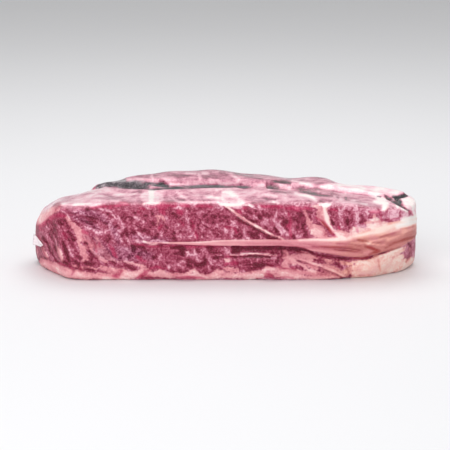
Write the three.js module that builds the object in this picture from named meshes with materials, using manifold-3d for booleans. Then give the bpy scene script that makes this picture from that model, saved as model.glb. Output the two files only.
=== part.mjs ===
// A whole beef chuck flap, sealed in tight clear film: one long block of marbled beef with a fold of
// film along its side, deep creases over its top and a small ear of film at its thin end.
// Millimetres. X runs along the block, the front wall faces -Y and Z is up. The block rests on z = 0.

import * as THREE from "three";
import { mergeVertices } from "three/addons/utils/BufferGeometryUtils.js";
import Module from "manifold-3d";

const wasm = await Module();
wasm.setup();

// Driving dimensions
const LENGTH = 340;
const DEPTH = 122;
const HEIGHT = 75;
const THIN_END_X = -LENGTH / 2;
const THICK_END_X = LENGTH / 2;
const FRONT_Y = -DEPTH / 2;
const BACK_Y = DEPTH / 2;

// How finely the block is faceted, along X, Y and Z
const CELLS = [64, 18, 20];

// Rounding of the top's edge, at the front and at the back, and of the foot, as widths of the blend
const BROW_BLEND = 6;
const NAPE_BLEND = 16;
const FOOT_BLEND = 7;
const FOOT_DROP = 1.6; // the rounded foot is cut flat this far above its lowest point
const CORE_INSET = 26; // how deep below the skin the rays that find it start
const RAY_REACH = DEPTH;
const RAY_HALVINGS = 26;

// A smooth curve through a few [position, value] knots, level beyond its ends
const profile = (knots) => {
  const slope = (i) => {
    const before = knots[Math.max(i - 1, 0)];
    const after = knots[Math.min(i + 1, knots.length - 1)];
    return (after[1] - before[1]) / (after[0] - before[0]);
  };
  return (at) => {
    if (at <= knots[0][0]) return knots[0][1];
    if (at >= knots.at(-1)[0]) return knots.at(-1)[1];
    const i = knots.findIndex((knot) => knot[0] > at) - 1;
    const span = knots[i + 1][0] - knots[i][0];
    const t = (at - knots[i][0]) / span;
    const rise = knots[i + 1][1] - knots[i][1];
    const bend = slope(i) * span - rise;
    const unbend = rise - slope(i + 1) * span;
    return knots[i][1] + t * rise + t * (1 - t) * (bend * (1 - t) + unbend * t);
  };
};

const smoothMax = (a, b, blend) => {
  const overlap = Math.max(blend - Math.abs(a - b), 0);
  return Math.max(a, b) + (overlap ? (overlap * overlap) / (4 * blend) : 0);
};
const step = THREE.MathUtils.smoothstep;
const bump = (q) => (Math.abs(q) < 1 ? (1 - q * q) ** 2 : 0);

// The block's plan is what these upright, slightly leaning walls enclose. Each is rounded into the
// walls before it by its blend.
const WALLS = [
  { name: "front", through: [0, FRONT_Y, 30], faces: [0, -1, 0], blend: 0 },
  { name: "thin end's slant", through: [-138, FRONT_Y, 30], faces: [-0.82, -0.57, -0.06], blend: 8 },
  { name: "thin end", through: [THIN_END_X - 1, 0, 30], faces: [-1, 0, 0.02], blend: 18 },
  { name: "thick end's front", through: [135, FRONT_Y, 26], faces: [0.6, -0.74, -0.36], blend: 26 },
  { name: "thick end", through: [THICK_END_X - 3, 0, 34], faces: [1, 0, 0.09], blend: 18 },
  { name: "back", through: [0, BACK_Y, 30], faces: [0, 1, 0.06], blend: 20 },
  { name: "thin end's back", through: [-64, BACK_Y, 40], faces: [-0.4, 0.9, 0.2], blend: 24 },
  { name: "thick end's back", through: [108, BACK_Y, 40], faces: [0.56, 0.8, 0.1], blend: 30 },
].map(({ through, faces, blend }) => {
  const normal = new THREE.Vector3(...faces).normalize();
  const plane = new THREE.Plane();
  return { plane: plane.setFromNormalAndCoplanarPoint(normal, new THREE.Vector3(...through)), blend };
});
const WALL_BARREL = 1.6; // how much fuller the walls are at mid height

// Height of the top's front edge, its brow, and of its back part, along X
const browHeight = profile([[-172, 38], [-164, 45], [-154, 55], [-146, 62.3], [-132, 65.5], [-80, 68.5],
  [70, 68.5], [112, 66.5], [138, 63.5], [170, 63]]);
const crestHeight = profile([[-172, 41], [-160, 50], [-148, 54.5], [-132, 56.5], [-118, 62.5], [-98, 67.5],
  [-74, 71.5], [-52, HEIGHT - 0.3], [-16, HEIGHT], [12, 72.3], [38, 70], [60, 67], [90, 68],
  [104, 64], [118, 63.3], [145, 65], [158, 68], [170, 69]]);
const topHeight = (x, y) => {
  const back = step(y, FRONT_Y + 12, BACK_Y - 24);
  const fullness = 1.2 * (1 - (2 * y / DEPTH) ** 2);
  return THREE.MathUtils.lerp(browHeight(x), crestHeight(x), back) + fullness;
};

// Below zero inside the block, and roughly the distance in mm from its bare skin outside it
const point = new THREE.Vector3();
const outside = (x, y, z) => {
  point.set(x, y, z);
  const barrel = WALL_BARREL * (z / (HEIGHT / 2) - 1) ** 2;
  const side = WALLS.reduce((inner, { plane, blend }) =>
    smoothMax(inner, plane.distanceToPoint(point) + barrel, blend), -DEPTH);
  const edge = THREE.MathUtils.lerp(BROW_BLEND, NAPE_BLEND, step(y, -30, 30));
  const topped = smoothMax(side, z - topHeight(x, y), edge);
  return smoothMax(topped, -z - FOOT_DROP, FOOT_BLEND);
};

const GRADIENT_STEP = 0.5;
const normalAt = (p) => {
  const slope = (dx, dy, dz) =>
    outside(p.x + dx, p.y + dy, p.z + dz) - outside(p.x - dx, p.y - dy, p.z - dz);
  const h = GRADIENT_STEP;
  return new THREE.Vector3(slope(h, 0, 0), slope(0, h, 0), slope(0, 0, h)).normalize();
};

// The fold of film along the front wall and round the thick end: the height of its middle, half its
// width and how far it stands proud, by the distance s along the wall. It opens like a fan to the right.
const foldHeight = profile([[-88, 36], [-64, 33.8], [-36, 33.2], [0, 33.8], [46, 34], [64, 33],
  [82, 31.5], [104, 30.4], [124, 33], [140, 36], [160, 38.5], [186, 41], [230, 40]]);
const foldHalfWidth = profile([[-80, 1], [-30, 1.4], [0, 2.5], [50, 2.8], [64, 4], [82, 6.2], [102, 8.4],
  [124, 11], [146, 12.4], [166, 12], [200, 9], [230, 5]]);
const foldProud = profile([[-88, 0], [-60, 1], [0, 1.8], [60, 2.6], [120, 3], [160, 2.4], [190, 1.2],
  [230, 1]]);
const hollowDepth = profile([[-85, 0], [-55, 1], [0, 2.2], [50, 3.8], [100, 4], [135, 1.6], [150, 0]]);
const HOLLOW_HEIGHT = 13;

// The distance along the front wall from x = 0, which goes on round both ends
const alongWall = (x, y) => x + Math.max(y - FRONT_Y, 0) * Math.sign(x) * step(Math.abs(x), 90, 150);

const frontFold = (s, z) => {
  const across = (z - foldHeight(s)) / foldHalfWidth(s);
  const shelf = step(across, -1.2, -0.8) * (1 - step(across, 0.7, 1.5));
  const below = (foldHeight(s) - foldHalfWidth(s) - z) / HOLLOW_HEIGHT;
  const hollow = step(below, -0.05, 0.12) * (1 - step(below, 0.15, 1));
  return foldProud(s) * shelf - hollowDepth(s) * hollow;
};

// Round swellings of muscle and fat on the front wall: [x, z, half length, half height, proud]
const FRONT_SWELLINGS = [
  [-66, 12, 22, 13, 1.6], // lower muscle, where it hangs over the fat
  [-34, 9, 18, 10, 1.8],
  [36, 13, 26, 12, 2.4],
  [86, 14, 26, 12, 1.2],
  [132, 14, 36, 17, 3], // the smooth lobe of fat at the thick end
  [110, 54, 12, 13, 1.4], // the lobes of lean under the brow
  [129, 54, 11, 12, 1.3],
  [98, 45, 12, 10, 1.2],
  [-100, 34, 26, 20, 1.2],
  [-142, 32, 14, 26, 1.2],
  [-30, 54, 40, 14, 1],
  [48, 56, 30, 12, 1.1],
  [152, 60, 20, 10, 1.5],
];
const frontSwellings = (s, z) =>
  FRONT_SWELLINGS.reduce((sum, [x, level, halfLength, halfHeight, proud]) =>
    sum + proud * bump(Math.hypot((s - x) / halfLength, (z - level) / halfHeight)), 0);

// The back wall has the same fold of film, straighter, over two long bellies of muscle
const BACK_FOLD = { height: 40, halfWidth: 4, proud: 1.8, hollow: 2, hollowHeight: 12 };
const awayFromEnds = (x) => step(-Math.abs(x), -155, -115);
const backFoldHeight = (x) => BACK_FOLD.height + 3 * Math.sin(x / 45);
const backRelief = (x, z) => {
  const middle = backFoldHeight(x);
  const across = (z - middle) / BACK_FOLD.halfWidth;
  const shelf = step(across, -1.3, -0.6) * (1 - step(across, 0.6, 1.5));
  const below = (middle - BACK_FOLD.halfWidth - z) / BACK_FOLD.hollowHeight;
  const hollow = step(below, -0.05, 0.15) * (1 - step(below, 0.2, 1));
  const bellies = 1.4 * Math.sin(x / 31 + 1) * bump((z - 16) / 18);
  return (BACK_FOLD.proud * shelf - BACK_FOLD.hollow * hollow + bellies) * awayFromEnds(x);
};

// Along the top runs a crease, where film bridges the gap between two muscles. It deepens gently from
// the front and ends at the steep front of the roll of muscle behind it.
const creaseY = profile([[-150, 28], [-112, 20], [-86, 8], [-60, 1], [-20, 0], [30, 4], [70, 4],
  [110, -5], [150, -20]]);
const creaseDepth = profile([[-140, 0], [-110, 2], [-50, 2.4], [20, 2.2], [45, 1.4], [110, 1.4],
  [160, 0.2]]);
const CREASE_APPROACH = 12;
const ROLL_FRONT = 4;
const ROLL = { proud: 2.2, reach: 46 };
const topRelief = (x, y) => {
  const across = y - creaseY(x);
  const rise = step(across, 0, ROLL_FRONT);
  const crease = -creaseDepth(x) * (across < 0 ? bump(across / CREASE_APPROACH) : 1 - rise);
  const roll = ROLL.proud * rise * bump((across - ROLL_FRONT) / ROLL.reach) * awayFromEnds(x);
  const frontRoll = 0.9 * bump((y + 28) / 24) * Math.sin(x / 37 + 0.6);
  return crease + roll * (1 + 0.3 * Math.sin(x / 24)) + frontRoll;
};

// The rounded fold of film at the thick end's top corner, and the dark crease beside it
const CORNER_FOLD = { at: [160, -30, 61], reach: 22, proud: 2.4 };
const CORNER_CREASE = { from: [140, 8, 65], to: [168, -60, 49], halfWidth: 8, depth: 2.6 };
const creaseLine = new THREE.Line3(
  new THREE.Vector3(...CORNER_CREASE.from), new THREE.Vector3(...CORNER_CREASE.to));
const nearest = new THREE.Vector3();
const cornerRelief = (p) => {
  const fold = bump(p.distanceTo(nearest.set(...CORNER_FOLD.at)) / CORNER_FOLD.reach);
  const share = creaseLine.closestPointToPointParameter(p, true);
  const gap = creaseLine.at(share, nearest).distanceTo(p);
  const crease = bump(2 * share - 1) * bump(gap / CORNER_CREASE.halfWidth);
  return CORNER_FOLD.proud * fold - CORNER_CREASE.depth * crease;
};

// Meat is never quite even
const unevenness = ({ x, y, z }) =>
  0.5 * Math.sin(x / 13 + 2 * Math.sin(z / 19)) * Math.sin(y / 15 + z / 11 + 1.3)
  + 0.35 * Math.sin(x / 6.5 + y / 9 + z / 7);

// How far the skin stands out from the bare block at a point of it
const relief = (p, normal) => {
  const upright = step(Math.hypot(normal.x, normal.y), 0.55, 0.85);
  const front = step(-normal.y, -0.25, 0.15) * upright;
  const back = step(normal.y, -0.15, 0.25) * upright;
  const s = alongWall(p.x, p.y);
  return front * (frontFold(s, p.z) + frontSwellings(s, p.z))
    + back * backRelief(p.x, p.z)
    + step(normal.z, 0.6, 0.9) * topRelief(p.x, p.y)
    + cornerRelief(p) + unevenness(p);
};

// The block narrows to both ends, more to the thin one. This is roughly its shape, from a unit cube.
// Rows of facets keep to the edges of the fold along the front wall, and columns to the top's crease.
const middleY = profile([[-170, -3], [-138, -17], [-100, -8], [-60, 0], [108, 0], [150, -7], [170, -8]]);
const halfDepth = profile([[-170, 15], [-138, 43], [-100, 53], [-60, 61], [108, 60], [150, 43], [170, 28]]);
const alongKnots = (at, knots) => {
  const i = Math.max(knots.findIndex((knot) => knot[0] >= at) - 1, 0);
  return THREE.MathUtils.mapLinear(at, knots[i][0], knots[i + 1][0], knots[i][1], knots[i + 1][1]);
};
const FOLD_ROWS = [6, 7, 11].map((row) => -1 + 2 * row / CELLS[2]);
const CREASE_COLUMNS = [7, 9, 10].map((column) => -1 + 2 * column / CELLS[1]);
const EDGE_GAP = 0.9;
const BROW_ROOM = 10;
const tapered = (u, v, w) => {
  const x = u * LENGTH / 2;
  const front = middleY(x) - halfDepth(x);
  const back = middleY(x) + halfDepth(x);
  const [near, bottom, far] = CREASE_COLUMNS;
  const y = alongKnots(v, [[-1, front], [near, creaseY(x) - CREASE_APPROACH], [bottom, creaseY(x)],
    [far, creaseY(x) + ROLL_FRONT], [1, back]]);
  const top = THREE.MathUtils.lerp(browHeight(x), crestHeight(x), (v + 1) / 2);
  const s = alongWall(x, y);
  const toBack = step(v, -0.2, 0.6);
  const middle = THREE.MathUtils.lerp(foldHeight(s), backFoldHeight(x), toBack);
  const halfWidth = THREE.MathUtils.lerp(foldHalfWidth(s), BACK_FOLD.halfWidth, toBack);
  const lower = middle - halfWidth;
  const upper = middle + 1.1 * halfWidth;
  const [below, above, over] = FOLD_ROWS;
  const z = alongKnots(w, [[-1, -FOOT_DROP], [below, lower - EDGE_GAP], [above, lower + EDGE_GAP],
    [over, Math.min(upper + EDGE_GAP, top - BROW_ROOM)], [1, top]]);
  return new THREE.Vector3(x, y, z);
};

// The block's core, well below its skin
const inset = (share, half) => THREE.MathUtils.clamp(share, CORE_INSET / half - 1, 1 - CORE_INSET / half);
const corePoint = (u, v, w) => {
  const x = inset(u, LENGTH / 2) * LENGTH / 2;
  const top = Math.min(browHeight(x), crestHeight(x));
  const y = middleY(x) + inset(v, DEPTH / 2) * halfDepth(x);
  return new THREE.Vector3(x, y, (1 + inset(w, HEIGHT / 2)) * top / 2);
};

// Where a ray from inside the block leaves it, raised by the relief there and lifted so many mm more
const skinAlong = (from, ray, lift) => {
  let inner = 0;
  let outer = RAY_REACH;
  for (let i = 0; i < RAY_HALVINGS; i += 1) {
    const middle = (inner + outer) / 2;
    const p = from.clone().addScaledVector(ray, middle);
    if (outside(p.x, p.y, p.z) < 0) inner = middle;
    else outer = middle;
  }
  const skin = from.clone().addScaledVector(ray, inner);
  const normal = normalAt(skin);
  return skin.addScaledVector(normal, relief(skin, normal) + lift);
};
const onSkin = (u, v, w) => {
  const core = corePoint(u, v, w);
  return skinAlong(core, tapered(u, v, w).sub(core).normalize(), 0);
};
const FORWARD = new THREE.Vector3(0, -1, 0);
const UP = new THREE.Vector3(0, 0, 1);
const onFrontWall = (x, z, lift) => skinAlong(new THREE.Vector3(x, 0, z), FORWARD, lift);
const onTop = (x, y, lift) => skinAlong(new THREE.Vector3(x, y, HEIGHT / 2), UP, lift);

// Closed solids for joining and cutting, and back to a geometry
const solidOf = (geometry) => {
  const bare = geometry.index ? geometry.toNonIndexed() : geometry.clone();
  bare.deleteAttribute("normal");
  bare.deleteAttribute("uv");
  const merged = mergeVertices(bare, 1e-4);
  return new wasm.Manifold(new wasm.Mesh({
    numProp: 3,
    vertProperties: merged.attributes.position.array,
    triVerts: new Uint32Array(merged.index.array),
  }));
};
const geometryOf = (solid) => {
  const mesh = solid.getMesh();
  const geometry = new THREE.BufferGeometry()
    .setAttribute("position", new THREE.BufferAttribute(mesh.vertProperties, 3))
    .setIndex(new THREE.BufferAttribute(mesh.triVerts, 1));
  geometry.computeVertexNormals();
  return geometry;
};

// The faceted block: a cube's surface carried out to the skin
const makeBlock = () => {
  const cube = new THREE.BoxGeometry(2, 2, 2, ...CELLS);
  const place = cube.attributes.position;
  for (let i = 0; i < place.count; i += 1) {
    const skin = onSkin(place.getX(i), place.getY(i), place.getZ(i));
    place.setXYZ(i, skin.x, skin.y, skin.z);
  }
  return solidOf(cube);
};

// A pinched pleat of film: a low ridge of round section that dives into the skin at both ends. Its
// stations are [x, z] on the front wall, or [x, y] on the top.
const PLEAT_SIDES = 6;
const PLEAT_STEPS = 13;
const PLEAT_DIVE = 2.5;
const makePleat = (stations, radius, onPlace) => {
  const last = stations.length - 1;
  const route = new THREE.CatmullRomCurve3(stations.map(([x, across], i) =>
    onPlace(x, across, i === 0 || i === last ? -PLEAT_DIVE : 0)));
  const section = new THREE.Shape(Array.from({ length: PLEAT_SIDES }, (_, i) =>
    new THREE.Vector2(radius, 0).rotateAround(new THREE.Vector2(), i / PLEAT_SIDES * 2 * Math.PI)));
  return solidOf(new THREE.ExtrudeGeometry(section, { steps: PLEAT_STEPS, extrudePath: route }));
};
const PLEAT_RADIUS = 1.1;
const LIP_RADIUS = 0.8;
const DIAGONAL_PLEAT = [[0.5, 66], [7, 59.5], [23, 49], [39, 40.3], [56, 35.5]];
const LOWER_PLEAT = [[59, 19.5], [75, 14.5], [88, 9], [102, 2.5]];
const SLIT_UPPER_LIP = [[-8, 22], [6, 23.2], [21, 25], [32, 24], [44, 23]];
const SLIT_LOWER_LIP = [[8, 19.6], [24, 21], [34, 20.6], [48, 19.4]];
const TOP_WRINKLE = [[30, -2], [46, -4], [62, -7], [78, -13], [92, -20], [106, -28]];
const TOP_WRINKLE_BEHIND = [[32, 17], [46, 14], [60, 10], [74, 5], [88, -2], [102, -11]];

// The ear of film that stands off the thin end, flat on its slanting face: [along the face, z]
const EAR_OUTLINE = [[-5, 33], [-5, 22], [0, 20], [17, 23], [12, 27], [1, 31]];
const EAR = { x: -161.7, y: -26.5, thickness: 3, turn: -0.96 };
const makeEar = () => {
  const outline = new THREE.Shape(EAR_OUTLINE.map(([along, z]) => new THREE.Vector2(along, z)));
  const flap = new THREE.ExtrudeGeometry(outline, { depth: EAR.thickness, bevelEnabled: false });
  flap.rotateX(Math.PI / 2);
  flap.rotateZ(EAR.turn);
  flap.translate(EAR.x, EAR.y, 0);
  return solidOf(flap);
};

const makeFloor = () => {
  const slab = new THREE.BoxGeometry(2 * LENGTH, 2 * DEPTH, HEIGHT);
  slab.translate(0, 0, -HEIGHT / 2);
  return solidOf(slab);
};

const makeFlap = () => {
  const film = [
    makePleat(DIAGONAL_PLEAT, PLEAT_RADIUS, onFrontWall),
    makePleat(LOWER_PLEAT, LIP_RADIUS, onFrontWall),
    makePleat(SLIT_UPPER_LIP, LIP_RADIUS, onFrontWall),
    makePleat(SLIT_LOWER_LIP, LIP_RADIUS, onFrontWall),
    makePleat(TOP_WRINKLE, PLEAT_RADIUS, onTop),
    makePleat(TOP_WRINKLE_BEHIND, PLEAT_RADIUS, onTop),
    makeEar(),
  ];
  const whole = film.reduce((sum, piece) => sum.add(piece), makeBlock());
  return geometryOf(whole.subtract(makeFloor()));
};

const material = new THREE.MeshStandardMaterial({ color: 0xa8526a, roughness: 0.35, metalness: 0 });
const flap = new THREE.Mesh(makeFlap(), material);
flap.name = "chuck_flap";

const group = new THREE.Group();
group.add(flap);

export default group;
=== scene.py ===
"""A whole beef chuck flap sealed in tight clear film, on a plain pale floor in soft studio light.

Sizes are in millimetres until a mesh is written. X runs along the block from its thin end to its
thick end, the marbled front wall faces -Y and Z is up. The block rests on z = 0.
"""

import logging
import math
from collections.abc import Iterable, Mapping
from dataclasses import dataclass
from enum import Enum

import bmesh
import bpy
import numpy as np
from bpy.types import Material, Mesh, Object
from mathutils import Matrix, Vector

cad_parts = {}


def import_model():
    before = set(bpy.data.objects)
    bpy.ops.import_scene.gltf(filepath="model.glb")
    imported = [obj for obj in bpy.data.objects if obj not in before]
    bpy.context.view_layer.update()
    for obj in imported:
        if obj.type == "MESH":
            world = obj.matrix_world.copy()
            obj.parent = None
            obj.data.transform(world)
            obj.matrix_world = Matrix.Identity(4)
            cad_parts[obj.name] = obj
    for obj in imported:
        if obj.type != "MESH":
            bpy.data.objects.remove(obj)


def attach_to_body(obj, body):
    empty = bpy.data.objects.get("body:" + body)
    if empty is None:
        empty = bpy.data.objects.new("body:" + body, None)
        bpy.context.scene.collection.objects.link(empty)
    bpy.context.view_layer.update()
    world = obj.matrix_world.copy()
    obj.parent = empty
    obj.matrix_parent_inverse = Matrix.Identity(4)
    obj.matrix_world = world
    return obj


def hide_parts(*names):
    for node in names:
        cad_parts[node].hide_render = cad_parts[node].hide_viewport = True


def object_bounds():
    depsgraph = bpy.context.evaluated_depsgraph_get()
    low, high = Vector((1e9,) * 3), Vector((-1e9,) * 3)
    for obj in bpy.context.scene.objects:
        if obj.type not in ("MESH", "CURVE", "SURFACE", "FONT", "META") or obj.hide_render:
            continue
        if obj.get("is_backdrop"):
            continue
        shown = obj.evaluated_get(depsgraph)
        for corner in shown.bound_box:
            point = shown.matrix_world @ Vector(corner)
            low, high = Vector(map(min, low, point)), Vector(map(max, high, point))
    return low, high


LOG = logging.getLogger("chuck_flap")
NODE = "chuck_flap"
MM = 0.001
TINY = 1e-9

Array = np.ndarray
Number = Array | float
Box = tuple[Vector, Vector]
Span = tuple[float, float]
Spans = tuple[Span, Span]
Knots = tuple[Span, ...]
Triple = tuple[float, float, float]


def step(value: Array, low: Number, high: Number) -> Array:
    """Smooth rise from 0 where the value is low to 1 where it is high."""
    share = np.clip((value - low) / (high - low), 0.0, 1.0)
    return share * share * (3.0 - 2.0 * share)


def plateau(value: Array, rise: Span, fall: Span) -> Array:
    """Smooth rise to 1 over one span, and a fall back to 0 over the next."""
    return step(value, *rise) * (1 - step(value, *fall))


def bump(share: Array) -> Array:
    """Round bump of height 1 at share 0 that ends at shares -1 and 1."""
    return np.where(np.abs(share) < 1.0, (1.0 - share * share) ** 2, 0.0)


def between(first: Number, second: Number, share: Number) -> Array:
    """Straight blend from the first value at share 0 to the second at share 1."""
    return first + (second - first) * share


def smooth_max(first: Array, second: Array, width: Number) -> Array:
    """The larger of two fields, rounded over a width in their own unit where they cross."""
    overlap = np.maximum(width - np.abs(first - second), 0.0)
    return np.maximum(first, second) + overlap * overlap / np.maximum(4.0 * width, TINY)


def from_leg(points: Array, start: Array, end: Array) -> tuple[Array, Array]:
    """How far along a straight leg each point is, and how far from it.

    Args:
        points: The points, one in each row.
        start: Where the leg starts.
        end: Where it ends.

    Returns:
        The share of the leg from 0 to 1, and the distance.
    """
    way = end - start
    share = np.clip((points - start) @ way / max(way @ way, TINY), 0, 1)
    return share, np.linalg.norm(points - start - share[:, None] * way, axis=1)


def through(at: Array, stops: Iterable[float], values: Iterable[Number]) -> Array:
    """Straight lines through stops whose values differ from point to point.

    Args:
        at: Where each point lies among the stops.
        stops: Rising positions.
        values: The value at each stop, one number or one for each point.

    Returns:
        The value at each point.
    """
    stops = list(stops)
    values = [value + 0.0 * at for value in values]
    result = values[0]
    for (low, high), (start, end) in zip(zip(stops, stops[1:]), zip(values, values[1:])):
        share = (at - low) / (high - low)
        result = np.where(at > low, between(start, end, share), result)
    return result


@dataclass(frozen=True)
class Profile:
    """A smooth curve through a few (position, value) knots, level beyond its ends."""

    knots: Knots

    def __call__(self, at: Number) -> Array:
        """Reads the curve.

        Args:
            at: Positions along the curve.

        Returns:
            The curve's value at each position.
        """
        places, values = np.array(self.knots, float).T
        last = len(places) - 1
        before = np.maximum(np.arange(last + 1) - 1, 0)
        after = np.minimum(np.arange(last + 1) + 1, last)
        slopes = (values[after] - values[before]) / (places[after] - places[before])
        at = np.clip(at, places[0], places[-1])
        i = np.clip(np.searchsorted(places, at, side="right") - 1, 0, last - 1)
        span = places[i + 1] - places[i]
        share = (at - places[i]) / span
        rise = values[i + 1] - values[i]
        bend = slopes[i] * span - rise
        unbend = rise - slopes[i + 1] * span
        return values[i] + share * rise + share * (1 - share) * (bend * (1 - share) + unbend * share)


@dataclass(frozen=True)
class View:
    """The low front view that the pattern is drawn in and that the camera takes."""

    elevation: float = 14.0
    distance: float = 1500.0
    target: Triple = (0.0, 0.0, 34.4)
    width: float = 398.25
    pixels: int = 450
    middle_column: float = 224.5
    middle_row: float = 225.0

    @property
    def pixel(self) -> float:
        """Size of a pixel at the target, in mm."""
        return self.width / self.pixels

    @property
    def towards(self) -> Vector:
        """The way from the target to the camera."""
        angle = math.radians(self.elevation)
        return Vector((0, -math.cos(angle), math.sin(angle)))

    def shown(self, points: Array) -> Array:
        """Where the view shows places.

        Args:
            points: Places in mm.

        Returns:
            The column and the row of each, in pixels.
        """
        back = np.array(self.towards)
        offset = points - np.array(self.target)
        rise = offset @ np.array((0, back[2], -back[1]))
        scale = self.distance / (self.distance - offset @ back) / self.pixel
        return np.stack(
            (self.middle_column + offset[:, 0] * scale, self.middle_row - rise * scale), axis=1
        )


VIEW = View()


@dataclass(frozen=True)
class Wall:
    """An upright wall of the block, rounded into the walls before it."""

    through: Triple
    faces: Triple
    rounding: float

    def outside(self, points: Array) -> Array:
        """Distance of each place in front of the wall's plane, in mm."""
        normal = np.array(self.faces) / np.linalg.norm(self.faces)
        return (points - np.array(self.through)) @ normal


@dataclass(frozen=True)
class Skin:
    """The outer form of the sealed block, which the film follows and the beef lies just under."""

    length: float = 340.0
    depth: float = 122.0
    height: float = 75.0
    fullness: float = 1.2
    brow_depth: float = 12.0
    nape_depth: float = 24.0
    brow_rounding: float = 6.0
    nape_rounding: float = 16.0
    to_nape: Span = (-30.0, 30.0)
    foot_rounding: float = 7.0
    foot_drop: float = 1.6
    barrel: float = 1.6
    round_ends: Span = (90.0, 150.0)
    middle_part: Span = (-155.0, -115.0)
    end_part: Span = (140.0, 165.0)
    out_of_view: float = 42.0
    walls: tuple[Wall, ...] = (
        Wall((0, -61, 30), (0, -1, 0), 0),
        Wall((-138, -61, 30), (-0.82, -0.57, -0.06), 8),
        Wall((-171, 0, 30), (-1, 0, 0.02), 18),
        Wall((135, -61, 26), (0.6, -0.74, -0.36), 26),
        Wall((167, 0, 34), (1, 0, 0.09), 18),
        Wall((0, 61, 30), (0, 1, 0.06), 20),
        Wall((-64, 61, 40), (-0.4, 0.9, 0.2), 24),
        Wall((108, 61, 40), (0.56, 0.8, 0.1), 30),
    )
    brow: Profile = Profile((
        (-172, 38), (-164, 45), (-154, 55), (-146, 62.3), (-132, 65.5), (-80, 68.5), (70, 68.5),
        (112, 66.5), (138, 63.5), (170, 63),
    ))
    crest: Profile = Profile((
        (-172, 41), (-160, 50), (-148, 54.5), (-132, 56.5), (-118, 62.5), (-98, 67.5), (-74, 71.5),
        (-52, 74.7), (-16, 75), (12, 72.3), (38, 70), (60, 67), (90, 68), (104, 64), (118, 63.3),
        (145, 65), (158, 68), (170, 69),
    ))
    fold_height: Profile = Profile((
        (-88, 36), (-64, 33.8), (-36, 33.2), (0, 33.8), (46, 34), (64, 33), (82, 31.5),
        (104, 30.4), (124, 33), (140, 36), (160, 38.5), (186, 41), (230, 40),
    ))
    fold_half: Profile = Profile((
        (-80, 1), (-30, 1.4), (0, 2.5), (50, 2.8), (64, 4), (82, 6.2), (102, 8.4), (124, 11),
        (146, 12.4), (166, 12), (200, 9), (230, 5),
    ))
    fold_proud: Profile = Profile((
        (-88, 0), (-60, 1), (0, 1.8), (60, 2.6), (120, 3), (160, 2.4), (190, 1.2), (230, 1),
    ))
    hollow_depth: Profile = Profile((
        (-85, 0), (-55, 1), (0, 2.2), (50, 3.8), (100, 4), (135, 1.6), (150, 0),
    ))
    hollow_height: float = 13.0
    fold_shape: Spans = ((-1.2, -0.8), (0.7, 1.5))
    hollow_shape: Spans = ((-0.05, 0.12), (0.15, 1.0))
    back_fold_height: float = 40.0
    back_fold_half: float = 4.0
    back_fold_proud: float = 1.8
    back_fold_sway: float = 3.0
    back_fold_length: float = 45.0
    back_fold_shape: Spans = ((-1.3, -0.6), (0.6, 1.5))
    back_hollow_depth: float = 2.0
    back_hollow_height: float = 12.0
    back_hollow_shape: Spans = ((-0.05, 0.15), (0.2, 1.0))
    belly_proud: float = 1.4
    belly_length: float = 31.0
    belly_height: float = 16.0
    belly_half: float = 18.0
    crease_line: Profile = Profile((
        (-150, 28), (-112, 20), (-86, 8), (-60, 1), (-20, 0), (30, 4), (70, 4), (110, -5),
        (150, -20),
    ))
    crease_depth: Profile = Profile((
        (-140, 0), (-110, 2), (-50, 2.4), (20, 2.2), (45, 1.4), (110, 1.4), (160, 0.2),
    ))
    crease_approach: float = 12.0
    roll_front: float = 4.0
    roll_proud: float = 2.2
    roll_reach: float = 46.0
    roll_sway: float = 0.3
    roll_length: float = 24.0
    front_roll_y: float = -28.0
    front_roll_half: float = 24.0
    front_roll_proud: float = 0.9
    front_roll_length: float = 37.0
    wave: float = 0.5
    ripple: float = 0.35
    corner: Triple = (160, -30, 61)
    corner_reach: float = 22.0
    corner_proud: float = 2.4
    corner_crease: tuple[Triple, Triple] = ((140, 8, 65), (168, -60, 49))
    corner_crease_half: float = 8.0
    corner_crease_depth: float = 2.6
    # Place along the front wall, height on it, half length, half height and how proud.
    swellings: tuple[tuple[float, float, float, float, float], ...] = (
        (-66, 12, 22, 13, 1.6), (-34, 9, 18, 10, 1.8), (36, 13, 26, 12, 2.4),
        (86, 14, 26, 12, 1.2), (132, 14, 36, 17, 3), (110, 54, 12, 13, 1.4),
        (129, 54, 11, 12, 1.3), (98, 45, 12, 10, 1.2), (-100, 34, 26, 20, 1.2),
        (-142, 32, 14, 26, 1.2), (-30, 54, 40, 14, 1), (48, 56, 30, 12, 1.1),
        (152, 60, 20, 10, 1.5),
    )
    middle_y: Profile = Profile((
        (-170, -3), (-138, -17), (-100, -8), (-60, 0), (108, 0), (150, -7), (170, -8),
    ))
    half_depth: Profile = Profile((
        (-170, 15), (-138, 43), (-100, 53), (-60, 61), (108, 60), (150, 43), (170, 28),
    ))
    # Which parts face which way, by the normal's length along an axis.
    upright: Span = (0.55, 0.85)
    facing_front: Span = (-0.25, 0.15)
    facing_back: Span = (-0.15, 0.25)
    facing_up: Span = (0.6, 0.9)
    not_back: Span = (-0.6, -0.28)
    on_top: Span = (0.55, 0.8)
    # How rows of vertices are laid, so that some follow the crease and the fold.
    crease_rows: tuple[float, ...] = (-1, -2 / 9, 0, 1 / 9, 1)
    fold_rows: tuple[float, ...] = (-1, -0.4, -0.3, 0.1, 1)
    back_rows: Span = (-0.2, 0.6)
    fold_edge: float = 0.9
    over_fold: float = 1.1
    under_top: float = 10.0
    core_inset: float = 26.0
    halvings: int = 22
    probe: float = 0.5

    @property
    def front_y(self) -> float:
        """Y of the front wall's plane."""
        return -self.depth / 2

    def top_height(self, x: Array, y: Array) -> Array:
        """Height of the top.

        Args:
            x: Places along the block.
            y: Places across it.

        Returns:
            The bare top's height at each place.
        """
        back = step(y, self.front_y + self.brow_depth, self.depth / 2 - self.nape_depth)
        fullness = self.fullness * (1 - (2 * y / self.depth) ** 2)
        return between(self.brow(x), self.crest(x), back) + fullness

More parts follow.
